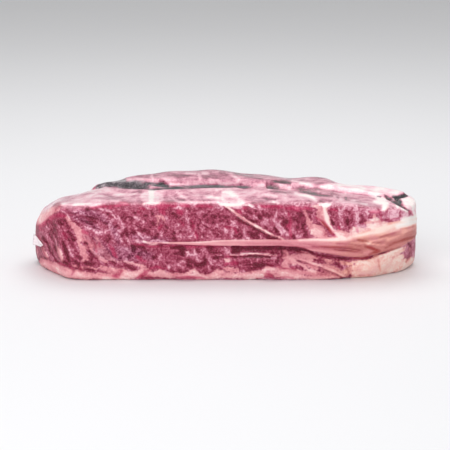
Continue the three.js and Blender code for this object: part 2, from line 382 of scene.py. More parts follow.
    def beyond_walls(self, points: Array) -> Array:
        """Distance out of the nearest wall, below zero inside all of them.

        Args:
            points: Places in mm.

        Returns:
            The distance for each place.
        """
        barrel = self.barrel * (points[:, 2] / (self.height / 2) - 1) ** 2
        side = np.full(len(points), -self.depth)
        for wall in self.walls:
            side = smooth_max(side, wall.outside(points) + barrel, wall.rounding)
        return side

    def outside(self, points: Array) -> Array:
        """Rough distance from the bare skin, below zero inside the block.

        Args:
            points: Places in mm.

        Returns:
            The distance for each place.
        """
        x, y, z = points.T
        side = self.beyond_walls(points)
        edge = between(self.brow_rounding, self.nape_rounding, step(y, *self.to_nape))
        topped = smooth_max(side, z - self.top_height(x, y), edge)
        return smooth_max(topped, -z - self.foot_drop, self.foot_rounding)

    def normal(self, points: Array) -> Array:
        """Direction in which the bare skin faces.

        Args:
            points: Places on the skin, one in each row.

        Returns:
            A unit vector for each place.
        """
        slopes = [
            self.outside(points + offset) - self.outside(points - offset)
            for offset in self.probe * np.eye(3)
        ]
        normal = np.stack(slopes, axis=1)
        return normal / np.linalg.norm(normal, axis=1, keepdims=True)

    def along_wall(self, x: Array, y: Array) -> Array:
        """Distance along the front wall from its middle, which goes on round both ends."""
        behind = np.maximum(y - self.front_y, 0)
        return x + behind * np.sign(x) * step(np.abs(x), *self.round_ends)

    def front_relief(self, s: Array, z: Array) -> Array:
        """The front wall's fold, the hollow under it and the swellings of muscle and fat.

        Args:
            s: Distances along the wall.
            z: Heights on it.

        Returns:
            How far the wall stands proud at each place.
        """
        middle = self.fold_height(s)
        half = self.fold_half(s)
        shelf = plateau((z - middle) / half, *self.fold_shape)
        hollow = plateau((middle - half - z) / self.hollow_height, *self.hollow_shape)
        relief = self.fold_proud(s) * shelf - self.hollow_depth(s) * hollow
        for at, level, half_length, half_height, proud in self.swellings:
            gap = np.hypot((s - at) / half_length, (z - level) / half_height)
            relief = relief + proud * bump(gap)
        return relief

    def back_fold(self, x: Array) -> Array:
        """Height of the back wall's fold at each x."""
        return self.back_fold_height + self.back_fold_sway * np.sin(x / self.back_fold_length)

    def back_relief(self, x: Array, z: Array) -> Array:
        """The back wall's fold over two long bellies of muscle.

        Args:
            x: Places along the block.
            z: Heights on its back wall.

        Returns:
            How far the wall stands proud at each place.
        """
        middle = self.back_fold(x)
        shelf = plateau((z - middle) / self.back_fold_half, *self.back_fold_shape)
        below = (middle - self.back_fold_half - z) / self.back_hollow_height
        hollow = plateau(below, *self.back_hollow_shape)
        bellies = self.belly_proud * np.sin(x / self.belly_length + 1)
        bellies = bellies * bump((z - self.belly_height) / self.belly_half)
        relief = self.back_fold_proud * shelf - self.back_hollow_depth * hollow + bellies
        return relief * self.away_from_ends(x)

    def away_from_ends(self, x: Array) -> Array:
        """1 along the middle of the block, falling to 0 at its ends."""
        return step(-np.abs(x), *self.middle_part)

    def top_relief(self, x: Array, y: Array) -> Array:
        """The crease along the top and the roll of muscle behind it.

        Args:
            x: Places along the block.
            y: Places across it.

        Returns:
            How far the top stands proud at each place.
        """
        across = y - self.crease_line(x)
        rise = step(across, 0, self.roll_front)
        near = np.where(across < 0, bump(across / self.crease_approach), 1 - rise)
        roll = rise * bump((across - self.roll_front) / self.roll_reach)
        uneven = 1 + self.roll_sway * np.sin(x / self.roll_length)
        roll = self.roll_proud * roll * self.away_from_ends(x) * uneven
        front_roll = self.front_roll_proud * bump((y - self.front_roll_y) / self.front_roll_half)
        front_roll = front_roll * np.sin(x / self.front_roll_length + 0.6)
        return roll + front_roll - self.crease_depth(x) * near

    def corner_relief(self, points: Array) -> Array:
        """The rounded fold of film at the thick end's top corner, and the crease beside it.

        Args:
            points: Places on the bare skin.

        Returns:
            How far the skin stands proud at each place.
        """
        fold = bump(np.linalg.norm(points - np.array(self.corner), axis=1) / self.corner_reach)
        share, gap = from_leg(points, *np.array(self.corner_crease, float))
        crease = bump(2 * share - 1) * bump(gap / self.corner_crease_half)
        return self.corner_proud * fold - self.corner_crease_depth * crease

    def relief(self, points: Array, normal: Array) -> Array:
        """All that raises or hollows the bare skin.

        Args:
            points: Places on the bare skin.
            normal: The way it faces there.

        Returns:
            How far the skin stands proud at each place.
        """
        x, y, z = points.T
        upright = step(np.hypot(normal[:, 0], normal[:, 1]), *self.upright)
        front = step(-normal[:, 1], *self.facing_front) * upright
        back = step(normal[:, 1], *self.facing_back) * upright
        # Shallow waves of unlike lengths, so that no stretch of the skin is quite even.
        waves = self.wave * np.sin(x / 13 + 2 * np.sin(z / 19)) * np.sin(y / 15 + z / 11 + 1.3)
        waves = waves + self.ripple * np.sin(x / 6.5 + y / 9 + z / 7)
        return (
            front * self.front_relief(self.along_wall(x, y), z)
            + back * self.back_relief(x, z)
            + step(normal[:, 2], *self.facing_up) * self.top_relief(x, y)
            + self.corner_relief(points)
            + waves
        )

    def aim(self, cube: Array) -> Array:
        """Roughly where a point of a cube's surface belongs on the block.

        Args:
            cube: Places on a cube from -1 to 1.

        Returns:
            A place near the skin for each.
        """
        u, v, w = cube.T
        x = u * self.length / 2
        crease = self.crease_line(x)
        y = through(
            v, self.crease_rows,
            (self.middle_y(x) - self.half_depth(x), crease - self.crease_approach, crease,
             crease + self.roll_front, self.middle_y(x) + self.half_depth(x)),
        )
        top = between(self.brow(x), self.crest(x), (v + 1) / 2)
        s = self.along_wall(x, y)
        to_back = step(v, *self.back_rows)
        middle = between(self.fold_height(s), self.back_fold(x), to_back)
        half = between(self.fold_half(s), self.back_fold_half, to_back)
        over = middle + self.over_fold * half + self.fold_edge
        z = through(
            w, self.fold_rows,
            (-self.foot_drop, middle - half - self.fold_edge, middle - half + self.fold_edge,
             np.minimum(over, top - self.under_top), top),
        )
        return np.stack((x, y, z), axis=1)

    def core(self, cube: Array) -> Array:
        """A place well below the skin for each point of a cube's surface.

        Args:
            cube: Places on a cube from -1 to 1.

        Returns:
            A place inside the block for each.
        """
        def inset(share: Array, half: float) -> Array:
            """Keeps a share of the way out at least the core's inset from the skin."""
            room = 1 - self.core_inset / half
            return np.clip(share, -room, room)

        x = inset(cube[:, 0], self.length / 2) * self.length / 2
        y = self.middle_y(x) + inset(cube[:, 1], self.depth / 2) * self.half_depth(x)
        top = np.minimum(self.brow(x), self.crest(x))
        return np.stack((x, y, (1 + inset(cube[:, 2], self.height / 2)) * top / 2), axis=1)

    def reach(self, starts: Array, rays: Array) -> Array:
        """Where rays from inside the block meet its bare skin.

        Args:
            starts: Places inside the block.
            rays: The directions to go.

        Returns:
            A place on the bare skin for each ray.
        """
        rays = rays / np.linalg.norm(rays, axis=1, keepdims=True)
        inner = np.zeros(len(starts))
        outer = np.full(len(starts), self.depth)
        for _ in range(self.halvings):
            middle = (inner + outer) / 2
            inside = self.outside(starts + rays * middle[:, None]) < 0
            inner = np.where(inside, middle, inner)
            outer = np.where(inside, outer, middle)
        return starts + rays * inner[:, None]

    def patch(self, starts: Array, rays: Array) -> "Patch":
        """The places that rays reach, with all that is known about them.

        Args:
            starts: Places inside the block.
            rays: The directions to go.

        Returns:
            The patch of skin.
        """
        place = self.reach(starts, rays)
        normal = self.normal(place)
        return Patch(self, place, normal, self.relief(place, normal))

    def wrapped(self, cube: Array) -> "Patch":
        """Carries the surface of a cube from -1 to 1 out to the skin."""
        core = self.core(cube)
        return self.patch(core, self.aim(cube) - core)


@dataclass(frozen=True)
class Patch:
    """Places on the bare skin, the way each faces and how far the relief raises it."""

    skin: Skin
    place: Array
    normal: Array
    relief: Array

    def raised(self, lift: Number) -> Array:
        """Places of the finished surface in mm, lifted over the relief and cut flat below."""
        raised = self.place + self.normal * (self.relief + lift)[:, None]
        return np.maximum(raised, (-np.inf, -np.inf, 0))

    @property
    def on_front(self) -> Array:
        """Each point in the front wall's own plane: distance along it, and height."""
        x, y, z = self.place.T
        return np.stack((self.skin.along_wall(x, y), z), axis=1)

    def shown(self, turned: bool) -> Array:
        """Where the view shows each point, with the pattern mirrored where an end hides it.

        Args:
            turned: Whether the block is turned half round first, as for its back wall.

        Returns:
            The column and the row of each point, in pixels.
        """
        points = self.raised(0.0) * ((-1, -1, 1) if turned else (1, 1, 1))
        x, y, _ = points.T
        shown = VIEW.shown(points)
        hidden = np.maximum(y - self.skin.front_y - self.skin.out_of_view, 0)
        hidden = hidden * step(np.abs(x), *self.skin.end_part) * (1 - self.topness)
        shown[:, 0] -= np.sign(x) * hidden / VIEW.pixel
        return shown

    @property
    def frontness(self) -> Array:
        """1 on the front wall, the top and both ends, 0 on the back wall."""
        return step(-self.normal[:, 1], *self.skin.not_back)

    @property
    def topness(self) -> Array:
        """1 on the top and 0 on the walls and the underside."""
        return step(self.normal[:, 2], *self.skin.on_top)


class Tissue(Enum):
    """What a stroke of the pattern shows."""

    LEAN = "lean"
    FAT = "fat"
    CREAM = "cream"
    # Painted glare of the light on the film, over white film and fat.
    WHITE = "white"
    # Pale threads of fat, and painted glints on the slit's lips, the pleats and the film over the top.
    THREAD = "thread"
    # Painted highlights along the pleats, the slit's lips and the fold's start, and a pale streak of
    # fat, coloured as fat.
    BRIGHT = "bright"
    BLOOD = "blood"
    RUST = "rust"
    # Darker patches of lean, and painted shade under the pleats, the slit and the fold.
    SHADE = "shade"
    # The darkest lines: painted shade in creases, the slit and under the fold and pleats, also sunk
    # into the beef.
    DEEP = "deep"
    # Painted shade and dark reflection of the film in the top's creases and at the thick end's corner,
    # also sunk into the beef.
    GREY = "crease_shade"
    VEIL = "veil"


Stroke = tuple[float, ...]
Strokes = Mapping[Tissue, tuple[Stroke, ...]]

# Each stroke is half its width, then the column and the row of each place that it runs through,
# all in pixels of the low front view.
THIN_END: Strokes = {Tissue.LEAN: (
    (1.7, 81, 243, 84, 244), (1.8, 76, 250, 78, 252), (2.4, 88, 252, 91, 255), (2, 78, 257, 81, 259),
    (1.6, 90, 260, 94, 262),
), Tissue.BLOOD: (
    (2.4, 33, 231, 38, 227, 43, 224, 48, 220, 53, 216, 58, 215, 64, 216), (1.6, 36, 236, 38, 239),
    (1.3, 52, 206, 56, 204, 60, 202.3), (1.3, 39, 230, 41, 230), (1.7, 82, 232, 86, 234),
    (1.2, 88, 236, 92, 241, 95, 247, 97, 252), (1.2, 57, 263, 60, 265, 64, 266),
    (1.4, 79, 266, 80, 270), (1.2, 73, 271, 71, 275),
    (2.2, 58, 206, 66, 208, 76, 208, 88, 207, 100, 206), (1.3, 62, 234, 66, 238),
), Tissue.FAT: (
    (4.4, 38, 224, 43, 218, 48, 212, 56, 208), (2.2, 48, 209, 56, 206, 66, 204),
    (1.3, 64, 217, 68, 220, 71, 222.5), (3.4, 67, 220, 73, 227, 79, 233, 86, 238, 94, 243),
    (5, 76, 231, 82, 237, 86, 245), (4, 80, 241, 84, 250, 87, 259),
    (3.2, 90, 241, 98, 249, 106, 256, 114, 261), (2.2, 56, 247, 59, 254, 62, 262),
    (2, 41, 248, 44, 254, 46, 258), (5, 38, 260, 48, 265, 58, 270, 68, 274, 84, 276, 100, 277),
    (1.6, 72, 266, 80, 268, 88, 267, 96, 270),
), Tissue.CREAM: (
    (2.4, 38, 221, 41, 216, 45, 211, 50, 206), (1.4, 40, 219, 43, 214),
    (3.4, 38, 262, 47, 266, 56, 270, 66, 274, 78, 276, 96, 277), (2.6, 40, 223, 45, 214, 52, 208),
    (1.3, 78, 237, 80, 241, 84, 247), (0.9, 66, 216, 69, 219),
), Tissue.WHITE: (
    (0.9, 71, 203.8, 75, 203.5, 79, 203.3),
), Tissue.THREAD: (
    (1, 57, 208.5, 60, 210.5, 64, 212, 67, 215, 69, 218), (0.7, 47, 223, 50, 227, 53, 232, 57, 237),
    (0.6, 55, 227, 59, 232, 62, 236, 65, 241, 67, 246), (0.8, 52, 236, 55, 241, 56, 246),
    (0.7, 56, 237, 59, 240, 60, 243), (1, 66, 242, 68, 248, 70, 253, 74, 259),
    (1.2, 58, 246, 60, 252, 62, 258), (1, 41, 241, 44, 245, 46, 249), (0.9, 45, 226, 48, 229),
    (0.7, 74, 211.5, 80, 211.5, 84, 213), (1.3, 94, 231, 97, 233), (0.8, 84, 227, 90, 229),
    (0.9, 45, 252, 47, 256),
), Tissue.SHADE: (
    (1.3, 71, 213, 74, 214, 78, 213), (1, 61, 219, 64, 221, 66, 224, 66, 227), (1.3, 57, 222, 61, 224),
    (0.9, 50, 222, 53, 225, 56, 229, 59, 233), (1.5, 50, 228, 53, 232, 56, 236),
    (0.9, 60, 228, 62, 232, 65, 236), (1.4, 47, 233, 50, 237, 53, 242),
    (1.2, 42, 237, 44, 241, 47, 244), (1, 55, 236, 58, 239), (1.4, 52, 244, 54, 248, 55, 252),
    (2, 47, 246, 49, 250, 52, 254), (1.2, 40, 257, 44, 259, 47, 258), (1.4, 66, 259, 69, 262),
    (1.5, 68, 240, 71, 243, 73, 247), (2, 71, 236, 73, 240), (1.6, 67, 232, 70, 235),
    (1.4, 75, 216.5, 80, 217, 86, 217, 92, 218.5, 97, 219.5), (1, 74, 221, 77, 224),
    (1.4, 84, 221, 88, 223, 92, 225), (1, 90, 222, 96, 223), (1.5, 93, 227, 98, 230),
    (1, 80, 219.5, 83, 222), (1.2, 80, 242, 84, 243.5, 87, 244.5), (1.2, 75, 250, 77, 253),
    (1.6, 77, 256, 80, 259), (1.6, 89, 251, 92, 254), (1, 88, 258, 92, 260), (1.4, 92, 256, 97, 258),
    (1.6, 84, 263, 90, 264, 96, 264), (1.6, 74, 262, 78, 264), (2, 77, 268, 80, 271),
    (1.2, 84, 269, 92, 270), (1.2, 86, 209.5, 98, 210),
# The darkest strokes here and in the tables below are painted shade in creases and crevices.
), Tissue.DEEP: (
    (1.9, 62, 243, 63, 247, 65, 252, 67, 257, 68, 261), (1.3, 63, 262, 66, 264),
    (0.9, 51, 255, 55, 261, 58, 263),
)}
LEFT_WALL: Strokes = {Tissue.BLOOD: (
    (1.5, 98, 206, 104, 206), (1.3, 106, 207, 110, 208, 113, 207),
    (2, 119, 203, 123, 204, 127, 204, 130, 203), (1.5, 140, 208, 144, 209), (1.2, 138, 212, 140, 213),
    (1.5, 148, 206, 152, 207, 155, 206), (4, 158, 206, 162, 208, 168, 207), (2, 160, 211, 164, 214),
    (1.8, 158, 229, 161, 226), (2.2, 109, 246, 113, 250, 114, 254, 116, 257), (1.5, 98, 243, 99, 246),
    (1.8, 136, 257, 140, 258), (0.9, 135, 244.5, 143, 244.5), (1.1, 148, 247, 158, 246.5, 167, 247),
    (2.2, 113, 276, 117, 276, 121, 271), (2.5, 139, 277, 142, 276, 145, 273, 144, 271),
    (1.5, 148, 277, 150, 277), (1.2, 150, 268, 156, 267, 161, 269, 167, 268), (1.2, 140, 261, 145, 262),
), Tissue.FAT: (
    (2.2, 95, 238, 98, 243, 102, 248, 107, 253, 111, 258),
    (2.5, 98, 248, 102, 249, 106, 252, 110, 257, 112, 259), (1.2, 157, 218, 158, 222, 156, 225),
    (1.2, 155, 216, 162, 218, 164, 222), (2.5, 122, 275, 128, 278), (1.8, 140, 268, 146, 269, 150, 271),
    (2.5, 98, 275, 106, 276, 112, 278),
), Tissue.CREAM: (
    (1.6, 117, 262, 122, 261, 127, 262, 133, 264, 139, 265, 145, 267), (3, 128, 274, 135, 275),
    (3.5, 152, 275, 160, 273, 168, 276),
), Tissue.THREAD: (
    (1.2, 98, 209, 104, 209.5, 109, 211, 112, 214, 115, 218, 118, 222),
    (0.8, 113, 219, 110, 222, 108, 228, 105, 230), (1.6, 117, 216, 119, 220, 118, 223),
    (1, 104, 232, 107, 230, 110, 228), (1.3, 98, 231, 100, 232, 103, 235),
    (0.9, 120, 222, 122, 226, 123, 229), (1.3, 118, 231, 120, 232), (1, 116, 234, 119, 236),
    (1, 122, 211, 126, 211, 128, 211), (1.3, 134, 217, 136, 219), (1, 133, 223, 136, 222),
    (0.9, 134, 228, 136, 229), (1, 132, 225, 134, 227), (1.1, 140, 224, 144, 222),
    (1.3, 160, 233, 161, 237), (1.8, 136, 232, 140, 235, 144, 238, 147, 240), (1.4, 144, 237, 149, 238),
    (1.4, 133, 240, 139, 242, 146, 242), (1.3, 150, 241, 157, 241, 163, 242, 168, 243),
    (1.1, 125, 237, 127, 240, 128, 243), (0.9, 120, 239, 122, 242), (1.3, 126, 249, 128, 252),
    (1.3, 123, 257, 126, 259), (1.1, 112, 268, 114, 271), (1.1, 154, 262, 153, 264),
    (1.4, 160, 256, 159, 259),
), Tissue.BRIGHT: (
    (1.5, 143, 241, 148, 243, 151, 244), (1.1, 151, 244.5, 156, 244),
), Tissue.SHADE: (
    (1, 110, 217, 112, 217), (1.2, 100, 221, 102, 221), (1, 105, 213, 108, 215),
    (1.2, 103, 223, 107, 224), (0.9, 105, 227, 107, 228), (1.3, 115, 227, 117, 226),
    (1.3, 112, 232, 113, 233), (2.2, 108, 235, 109, 238, 106, 241, 108, 242),
    (2, 121, 217, 123, 219, 125, 223), (1.5, 128, 217, 131, 219), (1.2, 133, 213, 136, 212),
    (1.6, 144, 216, 146, 216), (1.2, 143, 219, 145, 220), (1, 151, 212, 152, 216),
    (2, 150, 222, 152, 224, 150, 227), (2.2, 143, 230, 147, 232, 148, 234), (1.5, 140, 231, 143, 231),
    (1, 139, 228, 141, 229), (2, 125, 229, 126, 233, 127, 236), (1.3, 131, 233, 133, 234),
    (1.2, 133, 231, 136, 233), (1.2, 121, 235, 123, 233), (1.5, 155, 232, 157, 234),
    (1.5, 152, 237, 156, 237), (0.9, 164, 231, 166, 232), (1, 165, 226, 167, 228),
    (1.2, 124, 242, 126, 243), (2, 141, 252, 138, 254, 142, 255), (1.5, 128, 257, 131, 256),
    (1, 147, 255, 149, 254), (1.8, 152, 257, 155, 257, 153, 259), (1, 145, 251, 146, 254),
    (1, 116, 241, 118, 243), (1, 108, 252, 109, 251), (1.3, 112, 262, 114, 263),
    (1.2, 105, 263, 107, 264), (1.2, 98, 265, 100, 264), (1.1, 101, 255, 103, 256),
    (1.2, 119, 259, 121, 258), (1.3, 125, 266, 128, 267), (1.1, 130, 268, 134, 270),
    (1.2, 155, 266, 157, 266), (1.1, 166, 262, 167, 264),
), Tissue.DEEP: (
    (2.3, 131, 246, 134, 248, 133, 252), (1.8, 137, 246, 141, 248, 143, 247),
)}
MIDDLE_WALL: Strokes = {Tissue.BLOOD: (
    (1.8, 168, 206, 174, 206), (1.6, 181, 205, 185, 205, 188, 207), (1.6, 202, 207, 206, 206, 211, 207),
    (1.6, 195, 232, 196, 235, 197, 239), (1.6, 192, 222, 193, 226, 192, 229), (1.2, 180, 221, 183, 225),
    (2.2, 178, 212, 181, 213), (1.3, 224, 227, 228, 228, 231, 228), (1.5, 234, 229, 236, 232),
    (1.2, 237, 212, 238, 212),
    (1.2, 170, 247, 180, 247, 191, 247, 200, 246.5, 205, 246.5, 215, 247, 222, 247),
    (1, 225, 256.5, 231, 257), (1.3, 224, 265, 226, 264), (1.5, 229, 264, 231, 263, 233, 265),
    (1.8, 233, 262, 236, 264), (1.5, 178, 278, 183, 278, 190, 278, 195, 277),
), Tissue.FAT: (
    (1.2, 176, 274, 178, 276), (1.5, 206, 277, 215, 276), (2.5, 224, 269, 230, 270, 238, 270),
), Tissue.CREAM: (
    (2, 187, 273, 192, 270, 196, 273, 192, 275), (2, 215, 272, 222, 272), (2, 217, 276, 222, 277),
    (2, 222, 277, 238, 276), (1.7, 224, 260, 226, 261, 228, 260),
), Tissue.THREAD: (
    (1, 175, 209, 178, 207, 180, 209), (0.9, 186, 211, 187, 214), (1.1, 187, 219, 188, 222),
    (1.1, 187, 226, 189, 229, 192, 232, 194, 235, 196, 239), (1, 193, 203, 195, 207),
    (1, 197, 213, 199, 213, 203, 212, 206, 212, 209, 210), (1, 201, 222, 203, 223, 209, 227),
    (1.3, 201, 229, 203, 231, 201, 232), (1, 209, 231, 211, 234, 213, 238), (1.2, 216, 226, 217, 226),
    (1.2, 206, 236, 209, 238), (1, 202, 237, 204, 239), (1.1, 221, 206, 222, 209),
    (1.8, 224, 229, 226, 232, 225, 234), (1.6, 232, 229, 232, 233, 231, 238),
    (1.2, 231, 221, 233, 223, 231, 226), (1, 233, 227, 236, 226, 238, 228), (1, 177, 224, 178, 226),
    (1.6, 176, 236, 180, 238, 178, 240), (1.2, 188, 237, 192, 236), (1.3, 186, 252, 188, 253),
    (0.8, 185, 256, 190, 255, 193, 255), (1, 198, 257, 200, 256), (1, 197, 260, 199, 261),
    (1.3, 181, 262, 184, 262), (0.9, 177, 265, 178, 265), (1, 181, 268, 183, 269),
    (1, 207, 266, 208, 269, 208, 272), (1.3, 209, 261, 211, 264), (1.5, 213, 262, 216, 264, 220, 266),
    (1.5, 225, 248, 227, 252, 230, 254), (1.2, 168, 266, 169, 268),
    (1.7, 201, 250, 204, 253, 208, 256, 209, 258),
), Tissue.SHADE: (
    (1.2, 173, 214, 176, 216), (1.2, 187, 208, 189, 210), (1, 200, 208, 204, 208),
    (1.2, 189, 216, 192, 216), (1.5, 194, 214, 196, 217, 198, 219), (1, 199, 219, 200, 221),
    (1.2, 190, 222, 191, 225), (1.2, 198, 225, 198, 229), (1.2, 203, 217, 206, 215),
    (1.2, 208, 212, 209, 211), (2, 211, 216, 214, 217, 212, 219), (1.2, 206, 222, 207, 221),
    (1.2, 213, 222, 214, 224), (1.2, 218, 214, 219, 217), (1.6, 222, 217, 226, 217, 229, 217),
    (0.8, 225, 208, 228, 211, 230, 213), (1, 219, 222, 222, 221), (1.2, 227, 222, 229, 223),
    (1.1, 204, 226, 207, 228, 210, 228), (1, 215, 229, 217, 229), (1.8, 214, 235, 217, 235, 216, 237),
    (1, 212, 231, 214, 231), (1, 218, 232, 220, 233), (1.2, 179, 232, 183, 233, 186, 232),
    (1.2, 173, 232, 175, 234), (0.9, 174, 238, 175, 240), (1, 222, 235, 221, 238),
    (1.5, 235, 236, 238, 238), (1.2, 236, 218, 238, 219), (1.5, 175, 253, 178, 254),
    (1.3, 196, 249, 197, 252), (1.2, 176, 260, 181, 259), (2.2, 186, 260, 190, 261, 194, 262),
    (1.5, 188, 265, 191, 267), (1.8, 200, 263, 203, 262, 205, 260, 203, 258), (1.5, 168, 263, 170, 263),
    (1.3, 171, 268, 170, 271, 173, 272), (1.2, 178, 270, 180, 273, 183, 273, 187, 270),
    (1, 196, 270, 200, 273, 204, 275, 208, 275), (1.5, 203, 271, 207, 273, 210, 273),
    (1.2, 213, 271, 215, 271), (0.9, 211, 267, 212, 269), (1.5, 208, 250, 211, 252),
    (1.5, 207, 247, 212, 248), (1, 214, 253, 216, 253), (1, 220, 253, 222, 253),
), Tissue.DEEP: (
    (2.2, 170, 248, 180, 248, 184, 250, 183, 254), (2.2, 181, 251, 183, 255),
    (2.5, 195, 265, 200, 266, 204, 264), (1.3, 213, 258, 217, 258, 222, 257), (2, 232, 248, 238, 248),
    (1.5, 232, 252, 238, 252), (0.9, 231, 257, 236, 257),
)}
RIGHT_WALL: Strokes = {Tissue.BLOOD: (
    (1.4, 243, 208, 246, 208), (1.5, 261, 206, 266, 207), (1.3, 270, 208, 272, 209),
    (2, 277, 207, 279, 207, 278, 209), (2.2, 285, 208, 289, 208, 295, 209, 299, 212),
    (1.8, 288, 213, 290, 217, 290, 223, 289, 228, 290, 233), (1.2, 287, 227, 288, 225),
    (1.5, 290, 235, 291, 237), (1.6, 238, 211, 240, 213), (1.2, 252, 226, 250, 227),
    (1.5, 304, 208, 308, 208), (1.3, 267, 272, 269, 272), (1.6, 267, 274, 272, 276),
    (1.3, 268, 265, 272, 266), (0.9, 276, 267, 283, 268.5, 290, 269), (1.2, 291, 268, 295, 270),
    (0.8, 280, 277.6, 292, 277.6),
), Tissue.FAT: (
    (1.5, 262, 272, 266, 270), (2.2, 277, 268, 284, 271, 292, 273, 300, 276), (1.5, 270, 274, 276, 272),
    (3.5, 283, 257, 290, 258, 298, 257, 306, 258), (3.5, 286, 262, 284, 265, 288, 266, 294, 262),
    (2, 296, 277, 304, 277), (2, 300, 273, 308, 272),
), Tissue.CREAM: (
    (1.3, 266, 268, 271, 268), (3, 238, 277, 246, 277, 254, 277, 262, 275), (1.3, 293, 264, 296, 264),
    (1.6, 303, 265, 306, 267),
), Tissue.THREAD: (
    (1, 247, 203, 252, 208, 256, 209), (1.3, 257, 204, 259, 207), (1.2, 253, 216, 256, 218, 251, 219),
    (1, 243, 212, 245, 213), (1.6, 264, 218, 266, 221, 262, 223, 268, 224),
    (1.6, 276, 212, 275, 216, 274, 221, 278, 229, 280, 233), (0.9, 283, 207, 284, 211, 286, 214),
    (1.5, 280, 222, 279, 226), (1.6, 284, 231, 282, 234), (1.3, 286, 232, 287, 235),
    (1.4, 296, 236, 298, 238, 301, 235), (1.5, 243, 229, 244, 234, 243, 239), (1.2, 246, 238, 248, 239),
    (0.9, 258, 235, 260, 236), (0.9, 263, 258, 268, 258.5), (1.5, 271, 258, 275, 258, 273, 261),
    (1, 264, 261, 266, 262), (1, 250, 261, 251, 265, 251, 267), (1, 279, 252, 280, 255),
), Tissue.BRIGHT: (
    (1, 230, 255.4, 243, 254.2, 254, 254, 266, 254.4, 276, 255.4),
), Tissue.SHADE: (
    (1.6, 248, 212, 251, 214), (1.3, 254, 211, 256, 211), (2.4, 262, 212, 264, 215, 268, 216, 272, 216),
    (1.6, 258, 215, 260, 218), (1.6, 245, 216, 247, 218), (1.8, 250, 220, 252, 222, 256, 222),
    (1.5, 265, 227, 266, 229), (1, 270, 231, 272, 233), (1.3, 282, 216, 283, 219),
    (1.2, 279, 218, 281, 219), (2, 284, 221, 286, 223), (1.8, 282, 224, 284, 226),
    (1.2, 285, 228, 287, 231), (1.4, 293, 218, 294, 221), (2.4, 297, 213, 301, 215, 299, 217),
    (1.5, 296, 220, 298, 222), (1.5, 302, 221, 304, 224, 304, 226), (1.5, 297, 227, 297, 231),
    (1.4, 303, 231, 305, 233, 304, 236), (1.2, 293, 237, 294, 238), (2, 239, 235, 241, 237),
    (2.5, 248, 232, 252, 236, 258, 238), (1.5, 255, 233, 258, 234), (1.5, 250, 250, 258, 250),
    (2.5, 266, 250, 270, 252, 274, 255), (1.5, 278, 250, 283, 250), (2, 275, 252, 284, 254),
    (2, 244, 262, 248, 262), (1.8, 250, 270, 255, 268, 260, 267), (1.5, 246, 271, 250, 272),
    (1.3, 278, 259, 277, 262), (1.3, 281, 257, 283, 255), (0.9, 300, 267, 302, 269),
    (0.8, 296, 260.5, 302, 261.5, 308, 263.5),
), Tissue.DEEP: (
    (2, 238, 221, 243, 222, 248, 225),
    (1.8, 252, 229, 258, 230, 262, 232, 266, 235, 272, 237, 277, 238),
    (1.3, 262, 236, 268, 238, 274, 239), (0.8, 234, 212, 242, 218.5, 250, 225, 258, 230.5, 266, 235),
    (2, 274, 228, 276, 231, 278, 234),
    (1.6, 238, 248, 245, 248, 252, 248, 262, 248, 272, 248, 280, 248, 285, 249),
    (0.9, 239, 257, 245, 256.5, 252, 256, 260, 255.5, 268, 256),
    (1.5, 256, 266, 262, 266, 268, 266, 273, 266), (1.5, 286, 250, 294, 250, 300, 252, 308, 254),
)}
